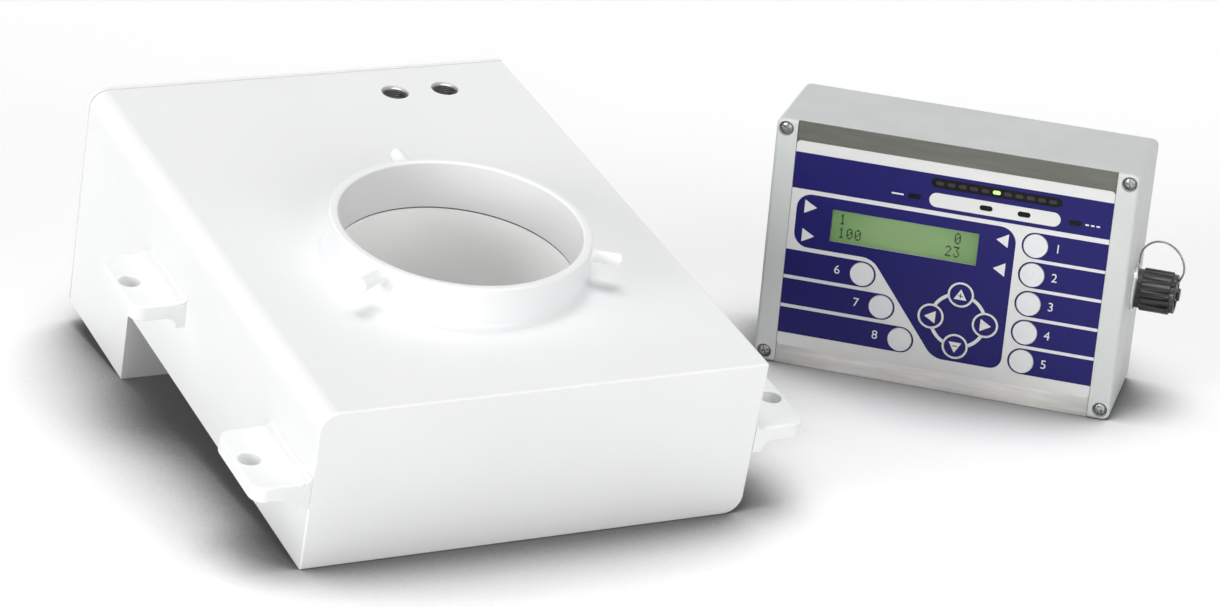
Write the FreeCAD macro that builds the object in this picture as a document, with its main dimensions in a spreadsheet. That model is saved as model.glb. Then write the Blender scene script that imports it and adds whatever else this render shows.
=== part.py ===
import FreeCAD, Part
import math
import os

import Sketcher
from FreeCAD import Placement, Rotation, Vector

# Driving sizes: millimetres, and degrees where the note says so
SIZES = {
    # The search head: a flat steel case round a vertical aperture
    "case_width": (290, "outside width of the case"),
    "collar_offset": (4, "the aperture's axis lies this far right of the case's middle"),
    "case_front": (150, "front face to the aperture's axis"),
    "case_back": (248, "aperture's axis to the rear face"),
    "slab_height": (106, "outside height of the shallow part"),
    "bay_height": (155, "outside height of the deep electronics bay"),
    "bay_length": (104, "outside length of the bay"),
    "skin": (3, "sheet thickness"),
    "bend_radius": (12, "outside radius of the bent edges"),
    "front_plate": (4, "thickness of the front plate"),
    "cover_plate": (3, "thickness of the rear cover"),
    "cover_gasket": (1.5, "thickness of the cover's gasket"),
    "frame_width": (16, "width of the frame that the cover is screwed to"),
    "frame_plate": (5, "thickness of that frame"),
    "cover_screw_radius": (2.5, "shank of a cover screw"),
    "cover_head_radius": (4.6, "head of a cover screw"),
    "cover_head_height": (3, "height of that head"),
    "hexagon_radius": (1.9, "socket of a cover screw, from its middle to a corner"),
    "hexagon_depth": (1.7, "depth of that socket"),
    # The aperture
    "bore_radius": (75, "inside radius of the collar and the liner"),
    "tube_wall": (5.8, "wall of the collar and the liner"),
    "collar_rise": (27, "collar above the case"),
    "collar_tail": (5, "collar below the case's top face"),
    "rim_round": (1.2, "rounding of the collar's rim"),
    "weld_gap": (0.15, "gap all round between welded or potted round parts"),
    "weld_leg": (3.4, "leg of the fillet welds round the collar and above the tabs"),
    "weld_edge": (0.4, "thickness that is left at a weld's upper edge"),
    # Bayonet pins on the collar
    "pin_radius": (4.3, "radius of a pin"),
    "pin_height": (20, "pin's axis above the case"),
    "pin_reach": (19, "pin beyond the collar's outside"),
    "pin_socket": (4, "depth of the blind hole that the pin is pressed into"),
    "pin_round": (1, "rounding of a pin's end"),
    "pin_turn": (-30, "direction of the first pin, degrees from the right"),
    # Search coils
    "former_wall": (20, "radial thickness of the coil former"),
    "groove_depth": (12, "depth of a coil groove"),
    "groove_width": (9, "width of a coil groove"),
    "coil_pitch": (27, "distance between the coils"),
    "coil_clearance": (0.3, "gap between a winding and its groove"),
    # Mounting tabs
    "tab_width": (64, "length of a tab along the case"),
    "tab_reach": (35, "tab beyond the case's side"),
    "tab_plate": (10, "thickness of a tab"),
    "tab_top": (46, "top of a tab below the case's top face"),
    "tab_foot": (7, "depth of the foot under a tab"),
    "tab_foot_reach": (6, "foot beyond the case's side"),
    "tab_foot_round": (5.6, "rounding of the foot's outer edge"),
    "tab_round": (9, "rounding of a tab's outer corners"),
    "tab_hole_radius": (6.75, "radius of a tab's hole"),
    "tab_hole_reach": (26, "hole's axis beyond the case's side"),
    "rear_tab_place": (86, "middle of a rear tab behind the aperture's axis"),
    # Threaded conduit entries
    "conduit_radius": (9.2, "tapped radius of a conduit entry"),
    "conduit_wall": (4, "wall of its boss"),
    "conduit_depth": (16, "boss below the top sheet"),
    "conduit_side": (49.6, "first entry right of the aperture's axis"),
    "conduit_pitch": (35.6, "distance between the entries"),
    "conduit_back": (35.5, "entries in front of the rear face"),
    # Electronics in the bay
    "head_board_plate": (1.6, "thickness of the head's board"),
    "head_board_margin": (18, "board clear of the bay's walls"),
    "head_standoff": (14, "height of a standoff"),
    "head_standoff_radius": (4, "radius of a standoff"),
    "head_standoff_inset": (8, "standoff's axis inside the board's edge"),
    # The control box
    "box_width": (240, "width"),
    "box_height": (170, "height"),
    "box_depth": (84, "depth"),
    "box_wall": (4, "wall"),
    "box_round": (4.5, "rounding of the four long edges"),
    "box_face_round": (2.5, "rounding of the edges round its front and back"),
    "lid_depth": (24, "depth of the lid"),
    "seal_step": (1.2, "step in each half that takes the seal"),
    "seal_width": (2, "width of the seal"),
    "channel_width": (14.4, "width of the screw channel beside the face plate"),
    "screw_inset": (6.6, "lid screw's axis inside the corner's two faces"),
    "screw_radius": (2, "shank of a lid screw"),
    "screw_head_radius": (4.2, "head of a lid screw"),
    "screw_head_height": (3.6, "height of that head"),
    "cross_length": (5.4, "length of the cross recess in that head"),
    "cross_width": (1.1, "width of its arms"),
    "cross_depth": (1.9, "depth of the recess"),
    "screw_length": (13, "shank inside the base"),
    "screw_hole_depth": (14, "depth of its hole in the base"),
    "screw_well_radius": (5, "radius of the well above the head"),
    "screw_well_depth": (6, "depth of that well"),
    "screw_clearance": (0.3, "gap round a screw"),
    "post_width": (12, "width of the corner posts"),
    "wall_thread_radius": (2.5, "radius of the wall fixing threads in the back"),
    "wall_thread_depth": (9, "depth of those threads"),
    "wall_thread_inset": (22, "those threads' axes inside the box's edges"),
    "wall_boss_radius": (6, "radius of the bosses round them"),
    "wall_boss_height": (8, "height of those bosses inside the back wall"),
    # Face plate and printed overlay
    "face_recess": (0.7, "overlay's face behind the channels' faces"),
    "overlay_plate": (0.5, "thickness of the overlay"),
    "face_plate_thick": (1.5, "thickness of the steel face plate"),
    "face_gap": (0.25, "gap between the plate and the channels"),
    "overlay_margin": (13.2, "plate left bare above and below the overlay"),
    "overlay_round": (3, "rounding of the overlay's corners"),
    "face_opening": (6, "lid's flange behind the plate"),
    # Display; places on the face are measured from its middle, right and up
    "window_side": (-28, "place of the display window, sideways"),
    "window_rise": (17.2, "height of the display window"),
    "window_width": (98, "width of the display window"),
    "window_height": (22, "inside height of the display window"),
    "window_gap": (0.1, "gap round the window pane"),
    "module_margin": (6, "display module beyond the window"),
    "board_plate": (1.6, "thickness of the display board"),
    "board_back": (13, "display board behind the face plate"),
    "board_margin": (14, "display board inside the plate's edges"),
    "spacer_radius": (3, "radius of a spacer"),
    "spacer_inset": (5, "spacer's axis inside the board's corners"),
    # Lamps
    "bar_side": (29, "place of the lamp bar, sideways"),
    "bar_rise": (58.2, "height of the lamp bar"),
    "bar_radius": (3.3, "half the height of the lamp bar"),
    "bar_length": (86.4, "length of the lamp bar"),
    "lamp_count": (11, "lamps in the bar"),
    "lamp_pitch": (7.46, "distance between lamps"),
    "lamp_width": (5.2, "width of a lamp"),
    "lamp_height": (2.6, "height of a lamp"),
    "lamp_depth": (4, "depth of a lamp"),
    "status_side_1": (-24.1, "place of the first status lamp, sideways"),
    "status_side_2": (23.3, "place of the second"),
    "status_side_3": (48.3, "place of the third"),
    "status_side_4": (81.9, "place of the fourth"),
    "status_rise": (46.5, "height of the four status lamps"),
    "status_radius": (1.7, "half the height of a status lamp"),
    "status_length": (8.4, "length of a status lamp"),
    # Keys
    "key_radius": (8, "radius of a round key"),
    "arrow_key_radius": (7, "radius of an arrow key"),
    "key_travel": (0.8, "travel of a key, which is how far it stands above the overlay"),
    "key_round": (0.4, "rounding of a key's edge"),
    "key_clearance": (0.3, "gap round a key and its stem"),
    "key_flange": (1.0, "key's flange beyond its face"),
    "key_flange_plate": (1.0, "thickness of that flange"),
    "key_play": (0.1, "flange behind the face plate"),
    "key_stem_radius": (2, "radius of a key's stem"),
    "right_keys_side": (58.4, "place of the right column of keys, sideways"),
    "right_keys_rise": (26.6, "height of the column's top key"),
    "right_keys_pitch": (20.2, "distance between those keys"),
    "left_keys_side": (-53.1, "place of the top left key, sideways"),
    "left_keys_rise": (-13, "height of the top left key"),
    "left_keys_step": (14.85, "each left key further right than the one above"),
    "left_keys_pitch": (20.4, "each left key lower than the one above"),
    "arrow_side": (13.6, "middle of the arrow keys, sideways"),
    "arrow_rise": (-33.8, "height of that middle"),
    "arrow_reach": (18.2, "arrow keys from that middle"),
    # Socket on the box's right side
    "socket_rise": (-6, "socket's axis above the middle of the side"),
    "socket_back": (44, "socket's axis behind the box's front"),
    "socket_radius": (11.2, "radius of the socket's barrel"),
    "socket_reach": (23, "barrel beyond the box's side"),
    "socket_inside": (14, "socket behind the box's wall"),
    "socket_flange": (2, "thickness of the flange inside the wall"),
    "socket_flange_radius": (14, "radius of that flange"),
    "nut_radius": (15.5, "radius of the round nut"),
    "nut_plate": (1.7, "thickness of the round nut"),
    "nut_round": (0.5, "rounding of the nut's outer edge"),
    "socket_gap": (0.15, "gap round the barrel in the wall and the nut"),
    # Dust cap and its lanyard
    "ring_plate": (0.8, "thickness of the lanyard's ring on the barrel"),
    "ring_radius": (14.6, "radius of that ring"),
    "ring_tab_reach": (17.6, "top of the ring's tab above the socket's axis"),
    "ring_tab_width": (5, "width of that tab"),
    "cap_gap": (0.3, "gap between the cap and what it covers"),
    "cap_neck_radius": (13.0, "radius of the cap's neck"),
    "cap_neck_length": (3, "length of the neck"),
    "cap_radius": (14.2, "radius over the cap's ribs"),
    "cap_length": (19.5, "length of the ribbed part"),
    "cap_rim_radius": (12.9, "radius of the cap's rim"),
    "cap_rim_length": (3.2, "length of the rim"),
    "cap_dish": (1.6, "depth of the dish in the cap's end"),
    "cap_dish_radius": (10.5, "radius of that dish"),
    "rib_count": (16, "grooves round the cap"),
    "rib_cut": (1.7, "radius of a groove's round cutter"),
    "rib_depth": (1.1, "depth of a groove"),
    "rib_round": (0.5, "rounding of the ribs' ends"),
    "stud_radius": (4.3, "radius of the stud's head"),
    "stud_head": (2.2, "length of the stud's head"),
    "stud_round": (0.6, "rounding of that head"),
    "stud_neck_radius": (2.4, "radius of the stud's neck"),
    "eye_plate": (1.2, "thickness of the lanyard's eye"),
    "eye_radius": (4.2, "outside radius of the eye"),
    "eye_neck": (2.1, "length of the eye's neck, where the wire ends"),
    "eye_neck_width": (2.4, "width of that neck"),
    "wire_radius": (0.7, "radius of the lanyard's wire"),
    "loop_reach": (31.4, "wire's loop beyond the box's side"),
    "loop_rise": (34.6, "top of the loop above the socket's axis"),
    # Where the two units stand on the floor
    "head_place_x": (-161.3, "aperture's axis, sideways"),
    "head_place_y": (-62, "aperture's axis at the case's top, depthways"),
    "box_place_x": (107.7, "control box's front left corner, sideways"),
    "box_place_y": (28, "control box's front left corner, depthways"),
    "box_turn": (-42, "control box turned about the vertical, degrees"),
}


class Size:
    """A length held as a number and as the spreadsheet expression that gives it."""

    def __init__(self, value, text=None):
        self.value = float(value)
        self.text = text or f"({self.value!r})"

    def join(self, sign, other, value):
        return Size(value, f"({self.text} {sign} {as_size(other).text})")

    def __add__(self, other):
        return self.join("+", other, self.value + as_size(other).value)

    def __sub__(self, other):
        return self.join("-", other, self.value - as_size(other).value)

    def __mul__(self, other):
        return self.join("*", other, self.value * as_size(other).value)

    def __truediv__(self, other):
        return self.join("/", other, self.value / as_size(other).value)

    def __neg__(self):
        return Size(-self.value, f"(-1 * {self.text})")


def as_size(length):
    return length if isinstance(length, Size) else Size(length)


ZERO = Size(0)


class Sizes:
    """The spreadsheet's cells by name, each as a Size."""


def fill_sheet(doc):
    sheet = doc.addObject("Spreadsheet::Sheet", "Sizes")
    cells = Sizes()
    for row, (name, (value, note)) in enumerate(SIZES.items(), start=1):
        sheet.set(f"A{row}", name)
        sheet.set(f"B{row}", str(value))
        sheet.set(f"C{row}", note)
        sheet.setAlias(f"B{row}", name)
        setattr(cells, name, Size(value, f"Sizes.{name}"))
    return cells


doc = FreeCAD.newDocument("metal_detector")
s = fill_sheet(doc)
doc.recompute()
PIECES = []

# Drawing helpers

PLANES = {"x": "YZ_Plane", "y": "XZ_Plane", "z": "XY_Plane"}


def new_body(name, place):
    """One piece of the object, as a body of its own."""
    body = doc.addObject("PartDesign::Body", name)
    body.Label = name
    body.Placement = place
    PIECES.append(body)
    return body


def bind(sketch, kind, geometry, point, size):
    """Hold a point's distance from the sketch's origin, or a circle's radius, to a size."""
    if kind == "Radius":
        index = sketch.addConstraint(Sketcher.Constraint(kind, geometry, size.value))
    else:
        index = sketch.addConstraint(Sketcher.Constraint(kind, -1, 1, geometry, point, size.value))
    sketch.setExpression(f"Constraints[{index}]", size.text)


def draw_path(sketch, points):
    """A closed outline of straight lines with every corner bound to the sheet."""
    points = [(as_size(across), as_size(up)) for across, up in points]
    first = sketch.GeometryCount
    ends = points[1:] + points[:1]
    for (x1, y1), (x2, y2) in zip(points, ends):
        sketch.addGeometry(Part.LineSegment(Vector(x1.value, y1.value, 0), Vector(x2.value, y2.value, 0)))
    for number, (across, up) in enumerate(points):
        following = first + (number + 1) % len(points)
        sketch.addConstraint(Sketcher.Constraint("Coincident", first + number, 2, following, 1))
        bind(sketch, "DistanceX", first + number, 1, across)
        bind(sketch, "DistanceY", first + number, 1, up)


def draw_circle(sketch, across, up, radius):
    across, up, radius = as_size(across), as_size(up), as_size(radius)
    centre = Vector(across.value, up.value, 0)
    number = sketch.addGeometry(Part.Circle(centre, Vector(0, 0, 1), radius.value))
    bind(sketch, "DistanceX", number, 3, across)
    bind(sketch, "DistanceY", number, 3, up)
    bind(sketch, "Radius", number, 0, radius)


def draw_slot(sketch, left, right, up, radius):
    """A level slot; left and right are the middles of its round ends."""
    left, right, up, radius = as_size(left), as_size(right), as_size(up), as_size(radius)
    level, reach, upright = up.value, radius.value, Vector(0, 0, 1)
    arcs = []
    for side, start in ((left, math.pi / 2), (right, -math.pi / 2)):
        ring = Part.Circle(Vector(side.value, level, 0), upright, reach)
        arcs.append(sketch.addGeometry(Part.ArcOfCircle(ring, start, start + math.pi)))
    lower = Part.LineSegment(Vector(left.value, level - reach, 0), Vector(right.value, level - reach, 0))
    upper = Part.LineSegment(Vector(right.value, level + reach, 0), Vector(left.value, level + reach, 0))
    under, over = sketch.addGeometry(lower), sketch.addGeometry(upper)
    for one, one_end, two, two_end in ((arcs[0], 2, under, 1), (under, 2, arcs[1], 1),
                                       (arcs[1], 2, over, 1), (over, 2, arcs[0], 1)):
        sketch.addConstraint(Sketcher.Constraint("Tangent", one, one_end, two, two_end))
    for arc, side in zip(arcs, (left, right)):
        bind(sketch, "DistanceX", arc, 3, side)
        bind(sketch, "DistanceY", arc, 3, up)
        bind(sketch, "Radius", arc, 0, radius)


def box(left, right, low, high):
    return draw_path, ([(left, low), (right, low), (right, high), (left, high)],)


def path(*points):
    return draw_path, (list(points),)


def disc(across, up, radius):
    return draw_circle, (across, up, radius)


def slot(left, right, up, radius):
    return draw_slot, (left, right, up, radius)


def new_sketch(body, axis, place, shapes):
    """A sketch square to an axis, at a place along it, with the given shapes."""
    sketch = body.newObject("Sketcher::SketchObject", f"{body.Name}_sketch")
    role = PLANES[axis]
    plane = next(item for item in body.Origin.OriginFeatures if item.Role == role)
    sketch.AttachmentSupport = (plane, [""])
    sketch.MapMode = "FlatFace"
    offset = -as_size(place) if axis == "y" else as_size(place)
    sketch.setExpression("AttachmentOffset.Base.z", offset.text)
    for draw, values in shapes:
        draw(sketch, *values)
    return sketch


def extrude(body, axis, low, high, *shapes, cut=False):
    """Add, or cut away, shapes drawn square to an axis, from low to high along it."""
    low, high = as_size(low), as_size(high)
    starts_high = (axis == "y") != cut
    sketch = new_sketch(body, axis, high if starts_high else low, shapes)
    before = body.Shape.Volume if body.Tip else 0
    kind = "PartDesign::Pocket" if cut else "PartDesign::Pad"
    feature = body.newObject(kind, f"{body.Name}_{'cut' if cut else 'block'}")
    feature.Profile = sketch
    feature.setExpression("Length", (high - low).text)
    doc.recompute()
    grown = body.Shape.Volume - before
    if (grown > 0) == cut:
        raise ValueError(f"{body.Label}: a feature along {axis} changed the volume the wrong way")
    return feature


def cut(body, axis, low, high, *shapes):
    return extrude(body, axis, low, high, *shapes, cut=True)


def revolve(body, *points):
    """Turn an outline, given as radius and height, about the body's Z axis."""
    sketch = new_sketch(body, "y", ZERO, [path(*points)])
    feature = body.newObject("PartDesign::Revolution", f"{body.Name}_turned")
    feature.Profile = sketch
    feature.ReferenceAxis = (sketch, ["V_Axis"])
    feature.Angle = 360
    doc.recompute()
    return feature


def repeat_round(body, feature, axis_role, count):
    """Repeat a feature evenly about one of the body's axes."""
    axis = next(item for item in body.Origin.OriginFeatures if item.Role == axis_role)
    pattern = body.newObject("PartDesign::PolarPattern", f"{body.Name}_pattern")
    pattern.Originals = [feature]
    pattern.Axis = (axis, [""])
    pattern.Angle = 360
    pattern.Occurrences = int(count)
    body.Tip = pattern
    doc.recompute()


def round_edges(body, radius, wanted):
    """Round the straight or round edges that the test picks."""
    base = body.Tip
    names = [f"Edge{number}" for number, edge in enumerate(base.Shape.Edges, start=1) if wanted(edge)]
    if not names:
        raise ValueError(f"{body.Label}: no edge to round")
    fillet = body.newObject("PartDesign::Fillet", f"{body.Name}_round")
    fillet.Base = (base, names)
    fillet.setExpression("Radius", as_size(radius).text)
    doc.recompute()


def edge_at(along=None, **places):
    """A test for straight edges along an axis whose middle has the given coordinates."""
    wanted = {axis: as_size(place).value for axis, place in places.items()}

    def test(edge):
        middle = edge.CenterOfMass
        if any(abs(getattr(middle, axis) - place) > 0.01 for axis, place in wanted.items()):
            return False
        if along is None:
            return True
        if len(edge.Vertexes) != 2:
            return False
        run = edge.Vertexes[1].Point - edge.Vertexes[0].Point
        return abs(abs(getattr(run, along)) - edge.Length) < 0.001
    return test


def any_of(*tests):
    return lambda edge: any(test(edge) for test in tests)


# The search head's frame: origin on the aperture's axis at the case's top face,
# X to the right, Y to the back. It rests on the slab's front edge and the bay's
# front edge, so it leans forward by the angle between them.
bay_face = s.case_back - s.bay_length
lean = math.atan2(s.bay_height.value - s.slab_height.value, bay_face.value + s.case_front.value)
lift = s.case_front.value * math.sin(lean) + s.slab_height.value * math.cos(lean)
HEAD = Placement(Vector(s.head_place_x.value, s.head_place_y.value, lift),
                 Rotation(Vector(1, 0, 0), math.degrees(lean)))

left = -(s.case_width / 2 + s.collar_offset)
right = s.case_width / 2 - s.collar_offset
front = -s.case_front
skin_start = front + s.front_plate
skin_end = s.case_back - s.cover_plate - s.cover_gasket
tube_radius = s.bore_radius + s.tube_wall
tube_hole = tube_radius + s.weld_gap
inner_bend = s.bend_radius - s.skin
side_seam = left + s.bend_radius + s.skin


def turned_about_z(degrees, height=0):
    return HEAD.multiply(Placement(Vector(0, 0, height), Rotation(Vector(0, 0, 1), degrees)))


def make_top_sheet():
    """The flat top, with the holes for the collar and the conduits."""
    body = new_body("case_top_sheet", HEAD)
    extrude(body, "z", -s.skin, ZERO, box(side_seam, right, skin_start, skin_end))
    cut(body, "z", -s.skin, ZERO, disc(0, 0, tube_hole), *conduit_discs(s.conduit_radius))


def make_left_sheet():
    """The left side, bent over to meet the top; it runs deeper beside the bay."""
    body = new_body("case_left_sheet", HEAD)
    extrude(body, "z", -s.skin, ZERO, box(left, side_seam, skin_start, skin_end))
    extrude(body, "z", -s.slab_height, ZERO, box(left, left + s.skin, skin_start, skin_end))
    extrude(body, "z", -s.bay_height, -s.skin, box(left, left + s.skin, bay_face, skin_end))
    round_edges(body, inner_bend, edge_at("y", x=left + s.skin, z=-s.skin))
    round_edges(body, s.bend_radius, edge_at("y", x=left, z=0))


def conduit_discs(radius):
    back = s.case_back - s.conduit_back
    return [disc(s.conduit_side + s.conduit_pitch * number, back, radius) for number in range(2)]


def make_bottom_sheet():
    """Underside and right side of the shallow part, bent from one sheet."""
    body = new_body("case_bottom_sheet", HEAD)
    floor = -s.slab_height
    extrude(body, "z", floor, floor + s.skin, box(left + s.skin, right, skin_start, bay_face))
    extrude(body, "z", floor, -s.skin, box(right - s.skin, right, skin_start, bay_face))
    round_edges(body, inner_bend, edge_at("y", x=right - s.skin, z=floor + s.skin))
    round_edges(body, s.bend_radius, edge_at("y", x=right, z=floor))
    cut(body, "z", floor, floor + s.skin, disc(0, 0, tube_hole))


def make_front_plate():
    body = new_body("case_front_plate", HEAD)
    extrude(body, "z", -s.slab_height, ZERO, box(left, right, front, skin_start))
    corners = any_of(edge_at("y", x=left, z=0), edge_at("y", x=right, z=-s.slab_height))
    round_edges(body, s.bend_radius, corners)


def make_bay():
    """The deep bay behind the slab: a step plate and a bent floor and right side."""
    step = new_body("bay_step_plate", HEAD)
    floor = -s.bay_height
    extrude(step, "z", floor, s.skin - s.slab_height,
            box(left + s.skin, right, bay_face, bay_face + s.skin))
    round_edges(step, s.bend_radius, edge_at("y", x=right, z=floor))
    sheet = new_body("bay_floor_sheet", HEAD)
    start = bay_face + s.skin
    extrude(sheet, "z", floor, floor + s.skin, box(left + s.skin, right, start, skin_end))
    extrude(sheet, "z", floor, -s.skin, box(right - s.skin, right, start, skin_end))
    round_edges(sheet, inner_bend, edge_at("y", x=right - s.skin, z=floor + s.skin))
    round_edges(sheet, s.bend_radius, edge_at("y", x=right, z=floor))


def cover_screw_places():
    """Six screws on the middle line of the rear frame."""
    middle = s.skin + s.frame_width / 2
    sides = (left + middle, (left + right) / 2, right - middle)
    heights = (-middle, middle - s.bay_height)
    return [(side, height) for side in sides for height in heights]


def ring_shapes(outside, width):
    """A rectangular ring inside the case's rear outline."""
    x0, x1 = left + outside, right - outside
    z0, z1 = outside - s.bay_height, -outside
    inner = box(x0 + width, x1 - width, z0 + width, z1 - width)
    return box(x0, x1, z0, z1), inner


def make_rear_cover():
    """A gasketed cover on the bay's back, screwed to a welded frame."""
    places = cover_screw_places()
    frame = new_body("rear_frame", HEAD)
    inset = s.skin + s.weld_gap
    extrude(frame, "y", skin_end - s.frame_plate, skin_end, *ring_shapes(inset, s.frame_width))
    round_edges(frame, s.bend_radius, frame_corners(inset))
    thread = s.cover_screw_radius + s.screw_clearance
    cut(frame, "y", skin_end - s.frame_plate, skin_end, *[disc(x, z, thread) for x, z in places])
    gasket = new_body("rear_gasket", HEAD)
    gasket_inset = s.skin / 2
    extrude(gasket, "y", skin_end, skin_end + s.cover_gasket, *ring_shapes(gasket_inset, s.frame_width))
    round_edges(gasket, s.bend_radius, frame_corners(gasket_inset))
    cut(gasket, "y", skin_end, skin_end + s.cover_gasket, *[disc(x, z, thread) for x, z in places])
    cover = new_body("rear_cover", HEAD)
    extrude(cover, "y", skin_end + s.cover_gasket, s.case_back, box(left, right, -s.bay_height, ZERO))
    corners = any_of(edge_at("y", x=left, z=0), edge_at("y", x=right, z=-s.bay_height))
    round_edges(cover, s.bend_radius, corners)
    cut(cover, "y", skin_end + s.cover_gasket, s.case_back, *[disc(x, z, thread) for x, z in places])
    screws = new_body("rear_cover_screws", HEAD)
    extrude(screws, "y", s.case_back, s.case_back + s.cover_head_height,
            *[disc(x, z, s.cover_head_radius) for x, z in places])
    extrude(screws, "y", skin_end - s.frame_plate, s.case_back,
            *[disc(x, z, s.cover_screw_radius) for x, z in places])
    head_end = s.case_back + s.cover_head_height
    cut(screws, "y", head_end - s.hexagon_depth, head_end, *[hexagon(x, z) for x, z in places])


def hexagon(across, up):
    """A hexagon with two corners level with its middle."""
    corners = [math.radians(60 * number) for number in range(6)]
    reach = s.hexagon_radius
    return path(*[(across + reach * math.cos(turn), up + reach * math.sin(turn)) for turn in corners])


def frame_corners(inset):
    """The two outer corners that lie in the case's bent edges."""
    upper = edge_at("y", x=left + inset, z=-inset)
    lower = edge_at("y", x=right - inset, z=inset - s.bay_height)
    return any_of(upper, lower)


def make_tab(name, side, middle):
    """A mounting tab with a foot and a weld, on the left (-1) or right (1) side."""
    body = new_body(name, HEAD)
    wall = left if side < 0 else right
    tip = wall + s.tab_reach * side
    foot = wall + s.tab_foot_reach * side
    near, far = middle - s.tab_width / 2, middle + s.tab_width / 2
    top = -s.tab_top
    under = top - s.tab_plate
    extrude(body, "z", under, top, box(min_size(wall, tip), max_size(wall, tip), near, far))
    extrude(body, "z", under - s.tab_foot, under, box(min_size(wall, foot), max_size(wall, foot), near, far))
    edge = wall + s.weld_edge * side
    extrude(body, "z", top, top + s.weld_leg, box(min_size(wall, edge), max_size(wall, edge), near, far))
    round_edges(body, s.weld_leg - s.weld_edge, edge_at("y", x=edge, z=top))
    round_edges(body, s.tab_foot_round, edge_at("y", x=foot, z=under))
    corners = any_of(edge_at("z", x=tip, y=near), edge_at("z", x=tip, y=far))
    round_edges(body, s.tab_round, corners)
    cut(body, "z", under, top, disc(wall + s.tab_hole_reach * side, middle, s.tab_hole_radius))


def min_size(one, two):
    return one if one.value < two.value else two


def max_size(one, two):
    return two if one.value < two.value else one


def make_tabs():
    front_middle = front + s.tab_width / 2
    for end, middle in (("front", front_middle), ("rear", s.rear_tab_place)):
        for word, side in (("left", -1), ("right", 1)):
            make_tab(f"mounting_tab_{end}_{word}", side, middle)


def make_collar():
    """The collar, welded to the top, with three pins for a feed spout's bayonet."""
    body = new_body("collar", turned_about_z(s.pin_turn.value))
    revolve(body, (s.bore_radius, -s.collar_tail), (tube_radius, -s.collar_tail), (tube_radius, ZERO),
            (tube_radius + s.weld_leg, ZERO), (tube_radius, s.weld_leg),
            (tube_radius, s.collar_rise), (s.bore_radius, s.collar_rise))
    rim = any_of(lambda edge: abs(edge.BoundBox.ZMin - s.collar_rise.value) < 0.01)
    round_edges(body, s.rim_round, rim)
    socket = cut(body, "x", tube_radius - s.pin_socket, tube_hole,
                 disc(0, s.pin_height, s.pin_radius + s.weld_gap))
    repeat_round(body, socket, "Z_Axis", 3)
    for number, word in enumerate(("right", "rear", "left")):
        pin = new_body(f"collar_pin_{word}", turned_about_z(s.pin_turn.value + 120 * number))
        tip = tube_radius + s.pin_reach
        extrude(pin, "x", tube_radius - s.pin_socket + s.weld_gap, tip, disc(0, s.pin_height, s.pin_radius))
        round_edges(pin, s.pin_round, lambda edge: abs(edge.BoundBox.XMin - tip.value) < 0.01)


def make_liner():
    """The smooth inner tube that carries the product through the coils."""
    body = new_body("aperture_liner", HEAD)
    revolve(body, (s.bore_radius, -s.slab_height), (tube_radius, -s.slab_height),
            (tube_radius, -s.collar_tail), (s.bore_radius, -s.collar_tail))


def make_coils():
    """A grooved former round the liner, and a winding in each groove."""
    inner = tube_radius + s.weld_gap * 2
    outer = inner + s.former_wall
    top, low = -s.skin, s.skin - s.slab_height
    middle = -s.slab_height / 2
    outline = [(inner, low), (outer, low)]
    names = ("receive_coil_lower", "transmit_coil", "receive_coil_upper")
    for number, name in enumerate(names):
        centre = middle + s.coil_pitch * (number - 1)
        base, lid = centre - s.groove_width / 2, centre + s.groove_width / 2
        deep = outer - s.groove_depth
        outline += [(outer, base), (deep, base), (deep, lid), (outer, lid)]
        coil = new_body(name, HEAD)
        gap = s.coil_clearance
        revolve(coil, (deep + gap, base + gap), (outer - gap, base + gap),
                (outer - gap, lid - gap), (deep + gap, lid - gap))
    outline += [(outer, top), (inner, top)]
    revolve(new_body("coil_former", HEAD), *outline)


def make_head_board():
    floor = s.skin - s.bay_height
    x0, x1 = left + s.skin + s.head_board_margin, right - s.skin - s.head_board_margin
    y0, y1 = bay_face + s.skin + s.head_board_margin / 2, skin_end - s.frame_plate - s.head_board_margin / 2
    corner = s.head_standoff_inset
    places = [(x, y) for x in (x0 + corner, x1 - corner) for y in (y0 + corner, y1 - corner)]
    standoffs = new_body("board_standoffs", HEAD)
    extrude(standoffs, "z", floor, floor + s.head_standoff,
            *[disc(x, y, s.head_standoff_radius) for x, y in places])
    board = new_body("electronics_board", HEAD)
    base = floor + s.head_standoff
    extrude(board, "z", base, base + s.head_board_plate, box(x0, x1, y0, y1))


def make_conduit_bosses():
    """Tapped bosses under the top sheet for the head's two conduits."""
    places = conduit_discs(s.conduit_radius)
    rims = conduit_discs(s.conduit_radius + s.conduit_wall)
    for word, hole, rim in zip(("left", "right"), places, rims):
        body = new_body(f"conduit_boss_{word}", HEAD)
        extrude(body, "z", -s.skin - s.conduit_depth, -s.skin, rim, hole)


# The control box's frame: origin at its front left bottom corner, X to its right,
# Y to its back.
BOX = Placement(Vector(s.box_place_x.value, s.box_place_y.value, 0),
                Rotation(Vector(0, 0, 1), s.box_turn.value))

screw_places = [(x, z) for x in (s.screw_inset, s.box_width - s.screw_inset)
                for z in (s.screw_inset, s.box_height - s.screw_inset)]
middle_side, middle_rise = s.box_width / 2, s.box_height / 2
overlay_front = s.face_recess
plate_front = overlay_front + s.overlay_plate
plate_back = plate_front + s.face_plate_thick
plate_left = s.channel_width + s.face_gap
plate_right = s.box_width - s.channel_width - s.face_gap
board_front = plate_back + s.board_back
board_rear = board_front + s.board_plate


def notched(inset, notch):
    """The box's outline moved in, with a square notch left in each corner."""
    x0, x1, z0, z1 = inset, s.box_width - inset, inset, s.box_height - inset
    xa, xb, za, zb = notch, s.box_width - notch, notch, s.box_height - notch
    return path((xa, z0), (xb, z0), (xb, za), (x1, za), (x1, zb), (xb, zb),
                (xb, z1), (xa, z1), (xa, zb), (x0, zb), (x0, za), (xa, za))


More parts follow.
